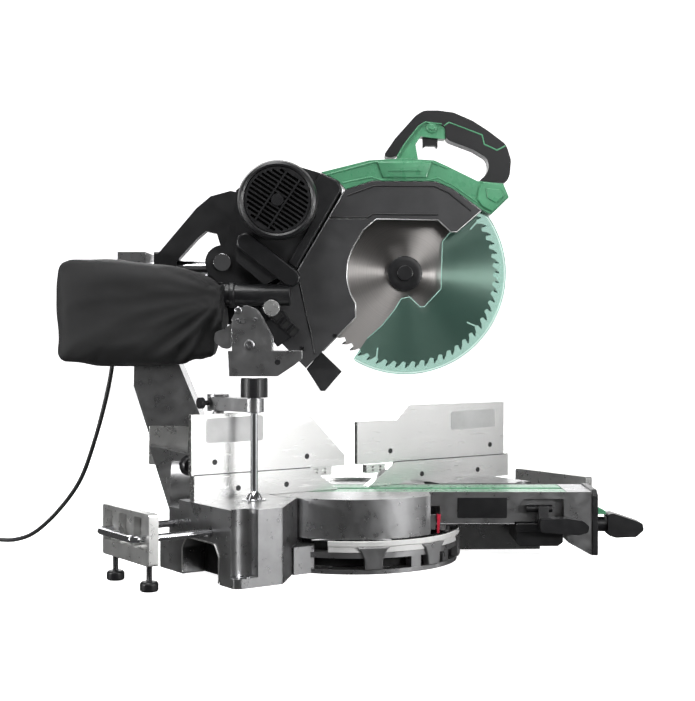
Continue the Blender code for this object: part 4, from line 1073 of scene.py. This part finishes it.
def arm_details(cast, red, black):
    """The turntable arm's blank plate, lower edge and pointer, and the dark box under it."""
    show(side("arm_label", rounded(oblong(163, 241, 69, 101), 2), -54.6, -53), "turntable", black,
         "black_plastic")
    under = rounded([(256, 59.4), (330, 59.4), (330, 30), (322, 24), (262, 24), (256, 30)], 4)
    flat_piece("arm_under_box", under, -50, 44, 1.2, 2, "turntable", black, "black_plastic")
    show(side("arm_box_rib", oblong(258, 324.2, 46, 48), -51.2, -49), "turntable", black, "black_plastic")
    bracket = rounded([(110, 52), (129, 52), (129, 76), (110, 74)], 2)
    flat_piece("pointer_bracket", bracket, -63, -55, 1.0, 2, "turntable", cast, "grey_casting")
    needle = [(130, 47), (133.5, 47), (136, 76), (130, 77)]
    flat_piece("pointer_needle", needle, -66, -61, 0.4, 2, "turntable", red, "red_plastic", "miter_pointer")
    bead("arm_lower_edge", [(122, 59.9), (253, 59.9)], -53.4, 1.0, "turntable", cast, "grey_casting")


def vise_details(black, steel, chrome):
    """Bolts on the bracket and a black disc on it painted as the shade of a hole, the collar under the
    bracket and the plate under the spindle's cup.
    """
    low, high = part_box("vise_rod")
    middle = ARM.inverted() @ ((low + high) / 2) / MM
    x = middle.x
    reach = -middle.y
    bolts = [screw("bolt", x - 20, reach + along, height, radius)
             for along, height, radius in ((-22, 394, 5.5), (3, 380, 3.2), (-23, 378, 4.0), (-6, 343, 7.5))]
    show(gather("vise_bolts", bolts), "vise_spindle", steel, "chromed_steel")
    # Painted shade: a black disc where the shelf has a hole.
    hole = disc("vise_shelf_hole", 4.2, (x - 20.4, -reach - 36, 317), (1, 0, 0), 0.6, 20)
    show(hole, "vise_spindle", black, "black_plastic")
    collar = [(19.2, 264), (20.4, 264), (20.4, 292), (19.2, 293)]
    cup_plate = [(12.5, 110.5), (18, 110.5), (18, 111.3), (12.5, 112)]
    for name, profile, segments, look, slot in (
        ("vise_collar", collar, 36, black, "black_plastic"),
        ("vise_cup_plate", cup_plate, 40, chrome, "chromed_steel"),
    ):
        made = turned(name, profile, (x, -reach, 0), (0, 0, 1), segments)
        show(made, "vise_spindle", look, slot)


def head_details(black, shade_and_lens_black):
    """The work light's three panes in their frames, and the flange on the blade."""
    light = (-116.5, 367.5)
    tilt = -40.54
    frames = []
    for a0, a1 in ((-26, -8), (-3, 10), (13, 26)):
        outer = spun(oblong(a0, a1, 2, 19), light, tilt)
        inner = spun(oblong(a0 + 2, a1 - 2, 4, 17), light, tilt)
        frames.append(cut(side("frame", outer, -55.5, -51.9), side("pane", inner, -60, -53.4)))
    show(soften(gather("light_frames", frames), 0.4), "head", black, "black_plastic")
    panes = [side("pane", spun(oblong(a0, a1, 4, 17), light, tilt), -53.9, -52.2)
             for a0, a1 in ((-24, -10), (-1, 8), (15, 24))]
    show(gather("light_lenses", panes), "head", shade_and_lens_black, "black_plastic")
    profile = [(9.2, 0), (25, 0), (27, 1.5), (27, 3), (21, 5.5), (12, 6.5), (9.2, 6.5)]
    flange = turned("blade_flange", profile, (-1.4, -ARBOR[0], ARBOR[1]), (-1, 0, 0), 48)
    show(flange, "blade", black, "blade_steel")


def main():
    """Make the materials, set up the studio, then give every piece of the saw its look."""
    cast = cast_metal("cast_silver", (0.36, 0.36, 0.365), 0.30, 0.95)
    cast_dark = cast_metal("cast_dark", (0.016, 0.016, 0.017), 0.38, 0.2)
    cover = cast_metal("cover_grey", (0.058, 0.058, 0.060), 0.38, 0.3)
    ring = cast_metal("scale_light", (0.72, 0.72, 0.71), 0.42, 0.15)
    plate = cast_metal("cast_light", (0.62, 0.62, 0.61), 0.30, 0.85)
    milled = milled_metal("milled_aluminium", (0.80, 0.80, 0.79), 0.24)
    label = cast_metal("blank_label", (0.50, 0.50, 0.50), 0.45, 0.3)
    chrome = polished_metal("chrome", (0.72, 0.72, 0.74), 0.08)
    steel = polished_metal("steel", (0.45, 0.45, 0.46), 0.25)
    # Light metal for the beads on the guard cover: painted highlights.
    highlight_look = polished_metal("painted_highlight_metal", (0.62, 0.62, 0.62), 0.3)
    ground = blade_steel()
    black = moulded_plastic("black_plastic", (0.009, 0.009, 0.010), 0.34)
    # Near-black and rough: painted shade under the scale ring, in the hand holds and behind the motor
    # slots, and the work light's panes.
    shade_and_lens_black = moulded_plastic("painted_shade_and_lens_black", (0.004, 0.004, 0.004), 0.8)
    rubber = moulded_plastic("black_rubber", (0.012, 0.012, 0.013), 0.50, 1.5, 0.08)
    green = moulded_plastic("green_plastic", (0.085, 0.29, 0.155), 0.28, 0.8, 0.02)
    red = moulded_plastic("red_plastic", (0.55, 0.02, 0.05), 0.35)
    cloth = woven_cloth()
    clear = clear_plastic()
    # Light green for the beads on the clear guard's edges: painted highlights.
    rim = moulded_plastic("guard_rim_highlight", (0.38, 0.62, 0.54), 0.15, 3.0, 0.01)

    set_camera()
    white_room()
    hang_cards()
    set_lamps()
    cords(rubber)

    for names, look, slot, width in (
        (("base_casting", "turntable", "tilt_column", "vise_arm", "vise_bracket", "vise_lever"),
         cast, "grey_casting", 2.2),
        (("fixed_fence", "left_fence_plate", "right_fence_plate"), milled, "machined_aluminium", 0.7),
        (("depth_stop_knob",), plate, "machined_aluminium", 0.9),
        (("miter_scale_ring",), ring, "machined_aluminium", 0.7),
        (("gear_case", "slide_carriage", "belt_cover"), cast_dark, "dark_casting", 1.5),
        (("guard_cover",), cover, "dark_casting", 1.5),
        (("left_holder_rod", "right_holder_rod", "vise_rod", "upper_rail", "lower_rail", "hinge_pin"),
         chrome, "chromed_steel", 0.5),
        (("spindle", "motor_rotor"), steel, "blade_steel", 0.6),
        (("left_fence_knob", "right_fence_knob", "left_front_foot", "left_rear_foot", "right_front_foot",
          "right_rear_foot", "vise_clamp_screw", "front_cap", "miter_lock_handle", "bevel_lock_lever",
          "rail_end_bridge", "slide_lock_knob", "dust_duct", "blade_bolt", "trigger",
          "work_light"), black, "black_plastic", 1.0),
        (("strain_relief", "drive_belt", "dust_flap"), rubber, "black_rubber", 0.8),
        (("kerf_plate_left", "kerf_plate_right", "detent_lever", "guard_housing", "handle_core",
          "lock_off_button"), green, "green_plastic", 1.0),
    ):
        for name in names:
            refine(name, look, width, slot)
    for name in ("left_holder_plate", "right_holder_plate"):
        refine(name, plate, 0.6, "machined_aluminium", 2, False)
    nodes["power_plug"].data.materials.clear()
    nodes["power_plug"].data.materials.append(rubber)
    grip(black)
    refine("lower_guard", clear, 0.6, "clear_green")
    saw_blade(ground, chrome)
    motor(black, shade_and_lens_black)
    # The dark casting gives the cover's painted shade lines, the light metal its painted highlights.
    cover_lines(cast_dark, highlight_look, black)
    guard_shapes(green)
    handle_lines(green)
    guard_edge(rim)
    dust_bag(cloth, black)
    fences(label, milled, black)
    base_details(cast, ring, shade_and_lens_black, chrome)
    column_details(plate, shade_and_lens_black)
    arm_details(cast, red, black)
    vise_details(black, steel, chrome)
    head_details(black, shade_and_lens_black)
    foot_threads(steel)


main()
